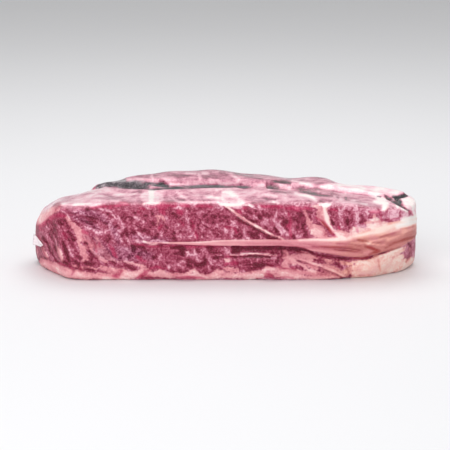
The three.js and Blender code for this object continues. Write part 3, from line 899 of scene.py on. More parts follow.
LOBES: Strokes = {Tissue.LEAN: (
    (2.9, 301, 211, 302, 220, 301, 230), (2.4, 309, 212, 311, 219), (2.7, 331, 210, 331, 218, 332, 224),
    (1.8, 332, 224, 335, 229), (3.4, 347, 211, 348, 218, 349, 226), (2.4, 344, 220, 345, 226),
    (2.7, 362, 215, 362, 220, 361, 225), (1.6, 371, 218, 367, 220), (2.2, 314, 260, 319, 260, 323, 262),
    (2.3, 334, 263, 339, 266, 343, 268), (1.6, 290, 266, 298, 268),
), Tissue.BLOOD: (
    (1.4, 303, 209, 308, 209, 312, 209), (1.2, 316, 219, 319, 220, 321, 221), (1.5, 331, 209, 336, 210),
    (1.4, 338, 226, 339, 229), (1.2, 356, 226, 357, 231), (1.6, 369, 212, 374, 212, 380, 212),
    (1.5, 380, 215, 380, 218, 382, 221), (1, 366, 247, 372, 248.5, 378, 250.5),
), Tissue.RUST: (
    (1.3, 321, 221, 324, 225, 328, 229, 331, 234), (1.5, 357, 240, 362, 241, 368, 242),
    (1.1, 353, 258.6, 362, 258.6, 368, 257.2), (0.8, 320, 246.5, 335, 247, 352, 247),
), Tissue.FAT: (
    (3.6, 304, 212, 307, 220, 311, 228), (6, 312, 228, 318, 232, 324, 236),
    (4.6, 320, 208, 320, 216, 324, 224), (3, 330, 230, 340, 233, 352, 234),
    (2.6, 374, 216, 370, 222, 362, 226), (3.2, 373, 219, 377, 221, 380, 226),
    (3.4, 284, 250, 286, 256, 290, 262), (4.4, 286, 264, 292, 272, 300, 274),
    (3.4, 298, 258, 308, 262, 316, 268),
    (2.4, 296, 252, 304, 254, 312, 258, 320, 260, 332, 262, 342, 263, 352, 264),
    (4, 338, 276, 346, 273, 351, 268), (3, 322, 264, 330, 268, 338, 271),
    (3.6, 306, 272, 320, 275, 338, 277), (3, 322, 269, 332, 272, 342, 275),
), Tissue.CREAM: (
    (3, 325, 204, 325, 209, 324, 214), (1.5, 326, 214, 327, 219, 330, 226, 336, 231),
    (2, 313, 206, 317, 206, 320, 204), (4, 312, 232, 318, 233, 322, 237),
    (2.6, 337, 233, 346, 235, 354, 233), (3.4, 352, 230, 362, 228, 370, 225),
    (2, 300, 240, 320, 240, 340, 239, 356, 236), (1.5, 288, 257, 296, 262, 304, 267, 314, 272),
    (2, 292, 276, 310, 278, 338, 278),
), Tissue.THREAD: (
    (1.7, 338, 208, 340, 216, 341, 228), (1.2, 355, 209, 357, 216, 357.5, 226),
    (1.3, 364, 209.5, 368, 213.5), (0.9, 343, 209, 345, 204.8, 350, 204, 353, 207, 355, 212, 357, 218),
    (1, 326, 259.5, 330, 260.5),
), Tissue.SHADE: (
    (1.4, 298, 213, 301, 213), (1.4, 307, 212, 311, 213), (1.2, 309, 217, 311, 219),
    (1.5, 302, 222, 303, 228), (1.4, 305, 231, 306, 237), (1.2, 316, 224, 319, 224),
    (1.5, 330, 211, 332, 215), (1.7, 330, 219, 332, 224), (1.6, 346, 211, 349, 214),
    (1.7, 346, 218, 347, 224), (1.5, 351, 216, 351, 222), (1.4, 349, 228, 351, 229),
    (1.6, 361, 216, 363, 220), (1.4, 361, 223, 364, 222), (1.2, 369, 217.5, 371, 218),
    (1.3, 314, 260, 318, 261), (1.3, 336, 264, 341, 267.5),
    (0.8, 300, 261.3, 308, 264, 322, 268.6, 330, 272, 338, 275.9, 346, 280),
), Tissue.DEEP: (
    (1.6, 276, 247, 286, 248, 296, 248, 305, 250, 312, 253),
    (1.3, 310, 253.2, 318, 255, 326, 256.6, 335, 257.9), (1.1, 335, 257.9, 345, 258.9, 352, 259.2),
    (0.9, 331, 221, 333, 224), (0.9, 347, 221, 348, 225),
)}
THICK_END: Strokes = {Tissue.LEAN: (
    (1.8, 411, 243, 413, 250, 413, 258),
), Tissue.BLOOD: (
    (1, 409, 209.5, 411, 212.5, 413, 215.5), (0.8, 386, 220.5, 392, 219.5, 398, 218.5),
), Tissue.RUST: (
    (1.9, 365, 247, 372, 249, 379, 251, 369, 255), (1.9, 419, 236, 408, 239, 394, 243),
    (0.9, 394, 243.4, 385, 248), (0.8, 392, 250, 400, 247), (1, 355, 258.8, 362, 258.6, 368, 257),
), Tissue.FAT: (
    (3, 374, 240, 386, 237, 398, 234),
), Tissue.CREAM: (
    (5, 372, 227, 382, 226, 388, 228), (2.6, 362, 235, 375, 232, 390, 228, 403, 224, 416, 218),
    (3.4, 384, 229, 395, 226, 405, 222, 416, 219), (2, 396, 231, 406, 229, 416, 226),
    (4.5, 354, 268, 364, 267, 376, 265, 390, 261, 402, 257),
    (3, 357, 264, 368, 262, 380, 259, 392, 255, 404, 250), (1.6, 392, 252, 400, 250, 406, 247),
    (6, 354, 273, 366, 272, 380, 270, 394, 266, 404, 262), (3, 352, 278, 366, 278, 380, 276, 392, 271),
    (1.5, 352, 262, 360, 262, 369, 263), (2.4, 384, 203, 386, 206, 383, 211),
), Tissue.THREAD: (
    (5, 388, 212, 397, 213, 405, 212), (3.4, 386, 218, 396, 216, 407, 214), (1.3, 397, 204, 397.5, 212),
    (0.9, 402, 208, 402, 217), (0.8, 406, 209, 406, 217), (0.8, 366, 243.8, 376, 245, 386, 245),
    (0.8, 395, 242, 405, 240.5, 415, 238.3),
), Tissue.SHADE: (
    (1.6, 386, 206, 388, 208, 386, 213), (1.4, 392, 208, 390, 213), (1, 385, 220, 389, 219.5),
    (0.8, 400, 208, 400, 215), (1.6, 410, 250, 412, 256), (1.2, 406, 262, 409, 257),
    (0.8, 312, 246.6, 330, 247.4, 350, 249, 362, 251), (0.9, 334, 249.6, 350, 251.6, 362, 253),
    (0.7, 336, 243.8, 348, 244.4, 360, 246), (1.2, 372, 243, 380, 242.5, 386, 240),
    (1, 380, 237.5, 390, 235, 400, 232.8), (0.7, 400, 229.5, 408, 228.3, 415, 226.8),
    (0.8, 378, 259, 379, 266, 380, 271), (0.8, 344, 262, 347, 270, 350, 277),
), Tissue.DEEP: (
    (1.2, 408, 243, 410, 245.5, 411, 248), (1, 360, 259.6, 368, 258.6, 376, 256, 384, 253, 392, 250),
)}
BROAD_FIELDS: Strokes = {Tissue.LEAN: (
    (1.2, 112, 262, 120, 264, 128, 267), (1.8, 356, 225, 364, 226),
), Tissue.BLOOD: (
    (0.9, 144, 246.2, 158, 246.8, 176, 246.4, 194, 245.8), (1.2, 64, 262, 70, 268, 72, 272),
    (0.9, 40, 244, 42, 250, 44, 256), (1.3, 136, 258, 140, 260), (2, 137, 278, 143, 274, 149, 270),
    (1.5, 176, 278, 188, 276.8, 204, 278), (1.2, 266, 276.6, 272, 276),
    (1.5, 315, 217.6, 321, 220.6, 326, 225.6, 331, 233, 334, 236.6),
), Tissue.FAT: (
    (2.6, 100, 268, 112, 271, 126, 271), (3, 98, 276, 126, 276),
    (3, 126, 276, 150, 275, 178, 276, 205, 276), (2.6, 205, 276, 225, 275, 238, 276),
    (3, 238, 275, 262, 274, 280, 274), (3.4, 280, 272, 290, 274),
    (3.8, 73, 226, 79, 237, 83, 250, 82, 260), (2.8, 86, 236, 91, 246, 88, 258),
    (2.2, 92, 251, 98, 257, 106, 262),
), Tissue.CREAM: (
    (1.8, 98, 278, 112, 278, 134, 278), (2, 150, 276, 160, 274, 170, 278),
    (1.4, 196, 278.5, 222, 277.5), (2, 238, 277, 250, 276, 262, 274),
    (2.6, 262, 272, 268, 270, 276, 270), (2.4, 276, 272, 290, 275, 300, 277),
    (3.5, 330, 239, 345, 238, 356, 234), (2.2, 128, 274, 142, 271, 158, 276),
    (1.8, 178, 277, 192, 275, 205, 277, 220, 275),
    (2.6, 368, 244, 384, 240, 396, 235, 408, 230, 418, 226), (2.2, 252, 277, 262, 277),
    (2.4, 276, 276, 286, 277, 298, 277), (3.4, 396, 272, 403, 268, 409, 263, 413, 257),
    (1.6, 411, 250, 413, 258, 411, 264),
    (2.8, 350, 237, 360, 236, 372, 235, 384, 232, 396, 228, 408, 225, 420, 221),
    (1.5, 374, 257, 382, 255.4, 391, 252, 400, 248.2), (1.6, 62, 268, 72, 273, 84, 277),
    (1.3, 262, 272.4, 276, 272), (1.9, 376, 257.6, 384, 255.2, 393, 251.6, 402, 247.6),
), Tissue.WHITE: (
    (1.8, 402, 220, 411, 218, 418, 216), (1.9, 397, 226.6, 408, 223.2, 420, 220.4),
), Tissue.THREAD: (
    # The first is a painted light line along the foot, and the thin lines along the slit and the pleat
    # are painted glints.
    (1.2, 60, 279.6, 84, 280.6, 120, 280.4, 240, 280.4, 280, 280.4, 345, 280.6, 370, 281, 390, 276),
    (1.5, 193, 249, 196, 256, 199, 262), (1.7, 203, 248, 207, 256, 210, 262),
    (0.9, 184, 255.6, 200, 254.6, 222, 255.4), (0.7, 236, 254.4, 254, 253.6, 270, 254.8),
    (0.5, 228, 208, 253, 225.4, 271, 234.8), (0.8, 231, 259, 241, 258.6, 252, 258.2),
    (1.6, 356, 205, 356.6, 216, 357, 229), (1.8, 360, 208.6, 368, 209.4, 377, 212),
    (1, 341, 209, 341.6, 218, 343, 227), (2, 370, 220, 376, 219, 384, 217),
    (1.1, 378, 256.4, 388, 253.4, 400, 248.4),
# Painted highlights along the two pleats, and a pale streak of fat.
), Tissue.BRIGHT: (
    (1.6, 225, 206, 236, 214, 244, 220, 253, 225, 262, 230, 271, 235, 283, 239),
    (1.2, 297, 258.5, 308, 261.9, 314, 263.9, 322, 266.4, 330, 269.8, 338, 273.6, 347, 278.4),
    (1.6, 322, 204, 325, 213, 326, 221, 330, 228.4, 337, 235, 344, 238),
), Tissue.SHADE: (
    (1.6, 234, 251, 246, 250, 258, 251, 272, 252), (1.6, 236, 263, 248, 265, 262, 264),
    (1.4, 240, 268, 252, 269, 262, 268), (1.2, 262, 262, 272, 261), (0.9, 50, 222, 54, 232, 57, 242),
    (0.8, 58, 224, 62, 232, 65, 240), (1.1, 240, 257.2, 252, 256.8, 268, 257),
), Tissue.DEEP: (
    (1.3, 234, 257.5, 246, 257.2, 258, 256.8, 272, 257.4),
    (0.9, 238, 218.4, 246, 223.8, 254, 229, 263, 233.6, 272, 237.6, 280, 240),
), Tissue.VEIL: (
    (5, 66, 210, 80, 211, 96, 215, 108, 223), (4, 72, 217, 84, 221, 98, 229),
    (4, 108, 222, 116, 234, 119, 246), (4, 84, 236, 94, 241, 106, 247),
    (4, 130, 236, 150, 240, 170, 240), (3, 126, 250, 140, 254, 154, 253),
    (9, 96, 252, 122, 254, 148, 256),
)}
TOP: Strokes = {Tissue.BLOOD: (
    (0.9, 172, 182, 176, 182), (1.2, 98, 204.5, 104, 204.5), (2, 118, 203, 124, 203, 130, 203),
    (1.6, 104, 206, 112, 206, 120, 206), (2.5, 158, 206, 166, 206, 175, 206),
    (1.6, 160, 202, 168, 202, 176, 203), (2, 181, 205, 187, 206), (2, 195, 206, 203, 206, 212, 206),
    (0.9, 274, 205.5, 282, 206), (2, 262, 207, 272, 207, 282, 207), (2, 290, 206, 297, 208, 303, 209),
    (1, 408, 210, 411, 213, 412.5, 215),
# Painted glare on the film over the top and the thick end's corner.
), Tissue.WHITE: (
    (1.4, 204, 197.2, 212, 196.2, 222, 198), (1, 216, 189, 221, 188.6),
    (1.2, 191, 201.6, 200, 201.3, 208, 201.5), (1, 238, 201, 245, 204, 252, 206),
    (0.7, 222, 191, 230, 192.5, 236, 196, 242, 201), (0.8, 217, 203.6, 226, 205, 240, 204.4),
    (1.1, 273, 201, 278, 202.4), (1.1, 280, 187, 284, 187.4, 289, 188.2),
    (1.2, 292, 180, 300, 182, 308, 183.5, 313, 184.2),
    (1.6, 295, 193, 300, 194, 306, 195, 312, 197, 316, 200), (2.4, 320, 204, 325, 204, 329, 204),
    (2.2, 374, 201, 381, 202, 388, 203), (2.4, 382, 204, 384, 206, 382, 210),
    (3.6, 404, 200, 409, 198, 412, 201), (3.4, 408, 202, 412, 204, 414, 209), (2, 413, 210, 415, 214),
    (1, 390, 203.6, 396, 205.6, 402, 208.4, 407, 211.4), (4, 322, 186, 340, 186, 354, 187, 368, 188),
    (5.4, 362, 188, 382, 190, 396, 191, 412, 192), (3.6, 410, 194, 414, 200, 417, 209),
    (3, 352, 188, 366, 190, 376, 194), (2.2, 378, 198, 384, 199), (1, 62, 203.8, 80, 204, 100, 203.4),
    (2.4, 402, 199, 406, 204, 411, 210),
), Tissue.THREAD: (
    (0.9, 120, 193, 125, 195, 133, 193.5, 137, 192), (0.7, 124, 197, 130, 195.6, 135, 193.3),
    (1.1, 84, 198.4, 92, 197, 97, 195.6, 101, 195), (1, 103, 202, 107, 201),
    (0.9, 110, 200.4, 118, 200.2), (1.2, 92, 188.5, 102, 188.6, 112, 189.3), (1, 88, 190.6, 100, 190.6),
    (0.9, 113, 194, 119, 194), (1, 134, 203, 135, 204), (0.6, 100, 184.5, 110, 184.2, 118, 184.6),
    (0.7, 121, 184, 130, 184.6, 142, 185.2), (0.6, 121, 178.5, 130, 178.7),
    (0.6, 136, 178.6, 150, 178.5), (1.2, 151, 173.5, 152, 178), (0.9, 186, 172.4, 195, 172.7),
    (1.5, 198, 173, 200, 177, 200, 178), (1, 202, 172.5, 208, 172.5), (0.8, 198, 180.5, 206, 180.3),
    (0.9, 212, 171.6, 217, 171.5), (1, 226, 172, 232, 174.3, 236, 177, 239, 178.4),
    (0.7, 243, 181.6, 250, 181.5), (0.6, 170, 184, 190, 182.1, 200, 181.7, 214, 182.2),
    (0.6, 218, 182.4, 230, 182.3, 240, 182), (0.9, 176, 192, 186, 198, 189, 200.5),
    (0.7, 171, 196, 174, 199, 178, 201), (1, 176, 201.4, 190, 201.5), (1.2, 209, 201.5, 217, 201.5),
    (0.6, 236, 192, 245, 192.4), (0.7, 243, 194, 249, 193.6, 255, 192),
    (0.8, 252, 190, 262, 193, 270, 195, 276, 195.6), (0.7, 276, 199, 284, 198.5, 295, 199.2),
    (0.8, 265, 202.2, 272, 201, 277, 200.5), (0.9, 282, 197, 288, 197),
    (1.2, 258, 185.3, 262, 184.6, 266, 183.5), (0.9, 272, 185, 276, 185.3), (1, 250, 201, 243, 201),
    (1.2, 250, 206, 257, 205), (1.2, 310, 185, 325, 185.4), (0.8, 300, 198, 306, 201, 311, 205),
    (0.7, 292, 201, 297, 205), (1, 340, 199, 343, 199.2), (0.9, 351, 200, 354, 200),
    (1, 361, 203, 366, 203.6), (0.8, 344, 206, 347, 204.2, 352, 204.5, 355, 208),
    (1, 333, 205.5, 336, 205.3), (1, 330, 203, 333, 200, 337, 201.5), (0.7, 335, 190, 345, 193),
    (0.5, 338, 203, 346, 202, 356, 203), (1, 312, 184.8, 300, 182), (4.8, 152, 191, 152, 198),
    (6, 151, 200, 149, 204), (0.8, 268, 188.6, 274, 186.4), (0.8, 279, 183.4, 286, 184),
    (0.8, 298, 186, 305, 187), (0.8, 311, 189.6, 318, 190.6), (0.8, 322, 192, 329, 193),
    (7.5, 228, 196, 238, 202), (1.4, 60, 203, 74, 200.5, 88, 197, 98, 191),
    (0.8, 96, 186.4, 104, 184.2, 112, 183), (0.7, 104, 186, 116, 183.6), (0.6, 112, 180, 126, 178.6),
    (2.4, 74, 203, 92, 203, 104, 200), (5, 145, 196, 158, 197),
), Tissue.BRIGHT: (
    (2.4, 151, 190, 150.6, 199), (1.5, 143, 203, 159, 203), (2, 218, 203, 228, 205, 242, 204),
), Tissue.SHADE: (
    (0.8, 216, 180, 224, 180.3, 232, 180, 242, 180), (0.8, 253, 180.5, 261, 180.3, 268, 180.6),
    (0.9, 271, 181, 280, 181.3, 288, 182.3, 296, 183.5), (1.2, 104, 194.5, 108, 195, 112, 196),
    (0.8, 100, 197.5, 112, 197.8, 120, 197.8), (0.9, 92, 201.5, 100, 202), (0.8, 81, 196.4, 92, 196.6),
    (1.3, 122, 191.5, 130, 190.8, 138, 190.6, 143, 191), (1, 137, 198.5, 143, 198),
    (1, 136, 176, 142, 176.3, 148, 176.3), (1.5, 158, 194, 163, 197, 167, 199),
    (1.5, 160, 198, 167, 195), (1, 171, 194, 176, 197.5), (1.4, 178, 197.5, 183, 199),
    (0.8, 190, 192.5, 199, 192), (0.6, 191, 199.6, 199, 199.4), (1.4, 200, 193, 204, 197, 203, 199),
    (1.4, 214, 195, 220, 191), (0.8, 188, 175, 197, 175), (0.7, 185, 180.2, 196, 180),
    (0.6, 180, 181.4, 187, 181.3), (0.9, 233, 172.8, 240, 173.2), (0.8, 243, 174, 252, 174),
    (1.2, 253, 195, 256, 196), (1.3, 264, 195, 267, 198.5), (0.6, 240, 199.2, 252, 199.4, 262, 200),
    (1.7, 252, 203, 255, 205), (1.2, 243, 206, 247, 206), (0.9, 287, 194.5, 290, 195.6),
    (0.7, 265, 203.6, 276, 203.3), (1, 275, 187, 277, 190), (0.6, 281, 185, 290, 185),
    (0.6, 353, 194.5, 359, 195.2, 365, 195), (1.2, 343, 199, 352, 198, 362, 198),
    (1, 320, 200, 328, 199), (2.6, 300, 190, 318, 192, 338, 194), (2, 270, 190, 282, 190, 292, 192),
    (1, 300, 184, 303, 186), (0.5, 360, 194.5, 366, 195, 370, 197, 374, 198.5), (1, 270, 196, 275, 199),
    (0.8, 322, 201.5, 336, 200), (1, 348, 191.5, 358, 193.6, 366, 194, 374, 198.2),
), Tissue.DEEP: (
    (0.8, 159, 181, 163, 181, 167, 183.5), (1, 240, 186, 246, 186, 252, 186),
    (0.6, 150, 188.5, 158, 188, 168, 187.6),
    (0.9, 306, 187.5, 310, 187.2, 316, 188, 322, 188.6, 327, 188.8, 331, 190, 338, 191, 343, 192),
    (0.9, 298, 191.5, 305, 191.5, 312, 192.5, 318, 193.5, 321, 193.5),
    (0.9, 324, 194, 328, 194, 332, 195), (0.9, 337, 196.4, 338, 196.6), (0.9, 345, 196.5, 345.5, 197),
    (1.5, 266, 185, 276, 187, 286, 188), (1.2, 266, 181.6, 280, 181, 290, 182),
    (1.4, 292, 187.4, 304, 188.4, 316, 190.2), (1.4, 306, 192, 318, 193.4, 332, 195),
    (2.2, 393, 196, 397, 196, 401, 195, 405, 194, 409, 193), (1.6, 397, 198, 399, 200, 400, 203),
    (1.4, 384, 196, 391, 199.4, 396, 202, 401, 204.8, 406, 208),
    (0.5, 384, 194.2, 388, 196.6, 392, 198.8),
    (1.2, 172, 186.3, 190, 185.6, 215, 185.1, 240, 185.4, 251, 186),
    (0.8, 122, 186.6, 138, 187, 155, 187.9, 168, 187), (1.7, 395.6, 197.4, 399.4, 201),
    (1.5, 153, 183.6, 160, 184, 167, 184.8), (1, 166, 187, 180, 186.4, 194, 186),
# Painted shade and dark reflection in the top's creases.
), Tissue.GREY: (
    (1.1, 118, 186.6, 124, 186.6, 131, 186.8, 138, 187, 145, 187, 150, 188.3, 155, 187.9, 162, 187.3,
     169, 186.8), (1.9, 169, 187, 178, 186, 190, 186, 200, 185, 215, 185, 230, 185, 240, 185),
    (1.7, 236, 185, 243, 186, 250, 186), (0.5, 97, 185.7, 105, 185.6, 118, 186),
    (2.4, 155, 184, 160, 183, 164, 184),
    (2, 110, 182, 118, 182, 126, 182, 134, 181, 142, 181, 150, 182), (1.2, 267, 186.5, 272, 186.5),
    (2.2, 393, 195, 397, 196, 401, 195, 405, 194, 410, 193), (1.5, 396, 197, 398, 200, 400, 202),
    (1, 386, 197.6, 391, 199.6, 396, 202.2, 401, 205, 405, 207.8, 409, 210.5),
    (0.8, 384, 194, 388, 196.4, 392.5, 199), (0.9, 377, 195, 380, 195.6),
    (2.6, 104, 183, 112, 182, 122, 180), (3, 92, 187, 101, 184, 112, 181, 124, 179),
    (1.9, 395.6, 197.4, 399.4, 200.6), (2, 145, 182.6, 156, 183.2),
    (1.9, 153, 183.4, 160, 184, 168, 184.8), (1.4, 112, 184.8, 128, 185.2, 148, 185.8),
    (1.5, 164, 187, 178, 186.6, 194, 186),
)}
STRETCHES = (
    THIN_END, LEFT_WALL, MIDDLE_WALL, RIGHT_WALL, LOBES, THICK_END,
    BROAD_FIELDS, TOP,
)


@dataclass(frozen=True)
class Grain:
    """Smooth noise on a plane, the same on every run."""

    seed: int
    knots: int = 64

    def __call__(self, points: Array, length: float, octaves: int = 1) -> Array:
        """Reads the noise.

        Args:
            points: Places in the plane, one in each row.
            length: Distance between its coarsest knots, in the points' unit.
            octaves: How many layers it has, each half as coarse and half as strong.

        Returns:
            The noise, from about -1 to 1.
        """
        lattice = np.random.default_rng(self.seed).uniform(-1, 1, (self.knots, self.knots))
        total = np.zeros(len(points))
        for octave in range(octaves):
            at = points * 2**octave / length + 17.3 * octave
            cell = np.floor(at).astype(int)
            u, v = step(at - cell, 0, 1).T
            (i, j), (k, m) = cell.T % self.knots, (cell.T + 1) % self.knots
            near = between(lattice[i, j], lattice[k, j], u)
            far = between(lattice[i, m], lattice[k, m], u)
            total += between(near, far, v) / 2**octave
        return total


@dataclass(frozen=True)
class Pattern:
    """Reads the strokes of each tissue on a patch of skin."""

    lowest: float = -6.0
    tip: float = 0.6
    slant: float = 0.6
    bend: Spans = ((9.0, 0.9), (3.5, 0.6))
    drift: tuple[Grain, Grain] = (Grain(3), Grain(5))
    sway_share: float = 0.3
    sway_shares: tuple[tuple[Tissue, float], ...] = (
        (Tissue.LEAN, 0.7), (Tissue.FAT, 0.7), (Tissue.CREAM, 0.7), (Tissue.BLOOD, 0.7),
        (Tissue.VEIL, 0.1), (Tissue.GREY, 0.1),
    )

    def sway(self, patch: Patch) -> Array:
        """How far the pattern wanders at each point, so that its edges are as uneven as flesh.

        Args:
            patch: The patch of skin.

        Returns:
            The columns and rows that each point moves, in pixels.
        """
        x, y, z = patch.place.T
        lying = np.stack((x + y, z - self.slant * y), axis=1)
        return sum(
            reach * np.stack([grain(lying, length) for grain in self.drift], axis=1)
            for length, reach in self.bend
        )

    def depth(self, points: Array, strokes: Iterable[Stroke]) -> Array:
        """How far inside the nearest stroke each point is.

        Args:
            points: The column and the row of each point.
            strokes: The strokes to read.

        Returns:
            The distance from the stroke's edge in pixels, below zero outside it.
        """
        depth = np.full(len(points), self.lowest)
        for half, *numbers in strokes:
            route = np.reshape(numbers, (-1, 2))
            room = half - self.lowest
            low, high = route.min(axis=0) - room, route.max(axis=0) + room
            near = np.flatnonzero(((points > low) & (points < high)).all(axis=1))
            legs = len(route) - 1
            for leg, ends in enumerate(zip(route, route[1:])):
                share, gap = from_leg(points[near], *ends)
                middle = np.sin(np.pi * (leg + share) / legs) if legs > 1 else 1.0
                depth[near] = np.maximum(depth[near], half * between(self.tip, 1, middle) - gap)
        return depth

    def read(self, patch: Patch, tissue: Tissue) -> Array:
        """Depth inside one tissue all over a patch of skin.

        Args:
            patch: The patch of skin.
            tissue: The tissue to read.

        Returns:
            The depth in mm at each point.
        """
        sway = dict(self.sway_shares).get(tissue, self.sway_share) * self.sway(patch)
        strokes = [stroke for stretch in STRETCHES for stroke in stretch.get(tissue, ())]
        back, front = (self.depth(patch.shown(turned) + sway, strokes) for turned in (True, False))
        return between(back, front, patch.frontness) * VIEW.pixel


def smoothed(name: str, work: bmesh.types.BMesh) -> Mesh:
    """Turns what is modelled into a smooth mesh.

    Args:
        name: The mesh's name.
        work: The modelled shape, which is freed.

    Returns:
        The mesh.
    """
    mesh = bpy.data.meshes.new(name)
    work.to_mesh(mesh)
    work.free()
    mesh.polygons.foreach_set("use_smooth", np.ones(len(mesh.polygons), bool))
    return mesh


def mark(mesh: Mesh, name: str, values: Array) -> None:
    """Stores a number at each vertex, under a name that the finish reads."""
    attribute = mesh.attributes.new(name, "FLOAT", "POINT")
    attribute.data.foreach_set("value", np.ascontiguousarray(values, np.float32))


class Shell:
    """A closed mesh of even quads, wrapped round the block's skin."""

    def __init__(self, skin: Skin, cells: tuple[int, int, int]) -> None:
        """Cuts a cube into cells and carries it out to the skin.

        Args:
            skin: The block's skin.
            cells: How many cells the cube has along X, Y and Z.
        """
        side = 2.0
        work = bmesh.new()
        bmesh.ops.create_cube(work, size=side)
        for axis, count in enumerate(cells):
            whole = [e for e in work.edges if abs((e.verts[0].co - e.verts[1].co)[axis]) > side / 2]
            bmesh.ops.subdivide_edges(work, edges=whole, cuts=count - 1, use_grid_fill=True)
        self.mesh = smoothed("shell", work)
        flat = np.empty(3 * len(self.mesh.vertices))
        self.mesh.vertices.foreach_get("co", flat)
        self.patch = skin.wrapped(flat.reshape(-1, 3))

    def settle(self, lift: Number, box: Box) -> None:
        """Moves the vertices to their last places, inside the block's box.

        Args:
            lift: Height over the skin in mm.
            box: Lowest and highest corner of the block, in metres.
        """
        places = np.clip(self.patch.raised(lift) * MM, *map(np.array, box))
        self.mesh.vertices.foreach_set("co", places.ravel())
        self.mesh.update()


def colour(*seen: float) -> tuple[float, ...]:
    """Linear light, with full alpha, of red, green and blue from 0 to 255 as seen on a screen."""
    shares = (channel / 255 for channel in seen)
    return (*(s / 12.92 if s <= 0.04045 else ((s + 0.055) / 1.055) ** 2.4 for s in shares), 1.0)


@dataclass(frozen=True)
class Signal:
    """A socket that gives a number, whose arithmetic adds Math nodes to its graph."""

    graph: "Graph"
    socket: bpy.types.NodeSocket

    def joined(self, operation: str, first: "Value", second: "Value") -> "Signal":
        """Adds a Math node for an operation on two values."""
        return self.graph.node("ShaderNodeMath", {"operation": operation}, {0: first, 1: second})

    def __add__(self, other: "Value") -> "Signal":
        """Sum of the two."""
        return self.joined("ADD", self, other)

    def __radd__(self, other: "Value") -> "Signal":
        """Sum of the two."""
        return self.joined("ADD", other, self)

    def __sub__(self, other: "Value") -> "Signal":
        """This less the other."""
        return self.joined("SUBTRACT", self, other)

    def __rsub__(self, other: "Value") -> "Signal":
        """The other less this."""
        return self.joined("SUBTRACT", other, self)

    def __mul__(self, other: "Value") -> "Signal":
        """Product of the two."""
        return self.joined("MULTIPLY", self, other)

    def __rmul__(self, other: "Value") -> "Signal":
        """Product of the two."""
        return self.joined("MULTIPLY", other, self)


Value = Signal | float


class Graph:
    """A material's nodes, and the one way to add to them."""

    def __init__(self, name: str) -> None:
        """Starts a material with no nodes.

        Args:
            name: The material's name.
        """
        self.material = bpy.data.materials.new(name)
        self.material.use_nodes = True
        self.tree = self.material.node_tree
        self.tree.nodes.clear()

    def node(
        self,
        kind: str,
        settings: Mapping[str, object] | None = None,
        sockets: Mapping[str | int, object] | None = None,
        out: str | int = 0,
    ) -> Signal:
        """Adds a node.

        Args:
            kind: The node's type.
            settings: Its settings, which are made first. A ramp's stops are under "stops".
            sockets: A number, colour or link for each of its sockets.
            out: The output that is wanted.

        Returns:
            The wanted output.
        """
        node = self.tree.nodes.new(kind)
        for name, setting in (settings or {}).items():
            if name == "stops":
                self.fill_ramp(node.color_ramp, setting)
            else:
                setattr(node, name, setting)
        for name, value in (sockets or {}).items():
            if isinstance(value, Signal):
                self.tree.links.new(value.socket, node.inputs[name])
            else:
                node.inputs[name].default_value = value
        return Signal(self, node.outputs[out] if len(node.outputs) else None)

    @staticmethod
    def fill_ramp(ramp: bpy.types.ColorRamp, stops: Iterable[tuple[float, Iterable[float]]]) -> None:
        """Gives a colour ramp its stops.

        Args:
            ramp: The ramp.
            stops: Each stop's position and colour.
        """
        for i, (position, tint) in enumerate(stops):
            element = ramp.elements[i] if i < 2 else ramp.elements.new(position)
            element.position = position
            element.color = tint

    def attribute(self, name: str) -> Signal:
        """A number that the mesh stores under this name."""
        return self.node("ShaderNodeAttribute", {"attribute_name": name}, out="Fac")

    def place(self) -> Signal:
        """Each point's place in mm, as a vector."""
        where = self.node("ShaderNodeTexCoord", out="Object")
        return self.vector("SCALE", where, Scale=1000.0)

    def vector(self, operation: str, first: object, second: object = None, **more: object) -> Signal:
        """Adds a Vector Math node, with its vectors and any other sockets by name."""
        sockets = {0: first, **({} if second is None else {1: second}), **more}
        return self.node("ShaderNodeVectorMath", {"operation": operation}, sockets)

    def noise(self, where: Signal, scale: float, detail: float = 2.0, rough: float = 0.5) -> Signal:
        """Smooth noise round 0.5, with so many blotches in a mm and finer layers over them."""
        sockets = {"Vector": where, "Scale": scale, "Detail": detail, "Roughness": rough}
        return self.node("ShaderNodeTexNoise", {}, sockets)

    def drifted(self, where: Signal, scale: float, reach: float) -> Signal:
        """A place moved about by noise, so that a pattern bends.

        Args:
            where: The place.
            scale: Number of bends in a mm.
            reach: How far it moves, in mm.

        Returns:
            The moved place.
        """
        sockets = {"Vector": where, "Scale": scale, "Detail": 1.0}
        drift = self.node("ShaderNodeTexNoise", {}, sockets, out="Color")
        centred = self.vector("SUBTRACT", drift, (0.5, 0.5, 0.5))
        return self.vector("ADD", where, self.vector("SCALE", centred, Scale=2 * reach))

    def rise(self, value: Value, low: float, high: float) -> Signal:
        """Smooth rise from 0 where the value is low to 1 where it is high."""
        return self.node(
            "ShaderNodeMapRange", {"interpolation_type": "SMOOTHSTEP"},
            {"Value": value, "From Min": low, "From Max": high},
        )

    def mixed(self, share: Value, first: object, second: object) -> Signal:
        """Blend of two colours by the share of the second."""
        return self.node("ShaderNodeMix", {"data_type": "RGBA"}, {0: share, 6: first, 7: second}, 2)

    def bump(self, strength: float, distance: float, height: Signal) -> Signal:
        """A surface raised by up to a distance in metres where the height is more."""
        sockets = {"Strength": strength, "Distance": distance, "Height": height}
        return self.node("ShaderNodeBump", {}, sockets)

    def finish(self, sockets: Mapping[str, object]) -> Material:
        """Ends the material in a Principled shader.

        Args:
            sockets: A number, colour or link for each of the shader's sockets.

        Returns:
            The finished material.
        """
        shader = self.node("ShaderNodeBsdfPrincipled", {}, sockets)
        self.node("ShaderNodeOutputMaterial", {}, {"Surface": shader})
        return self.material


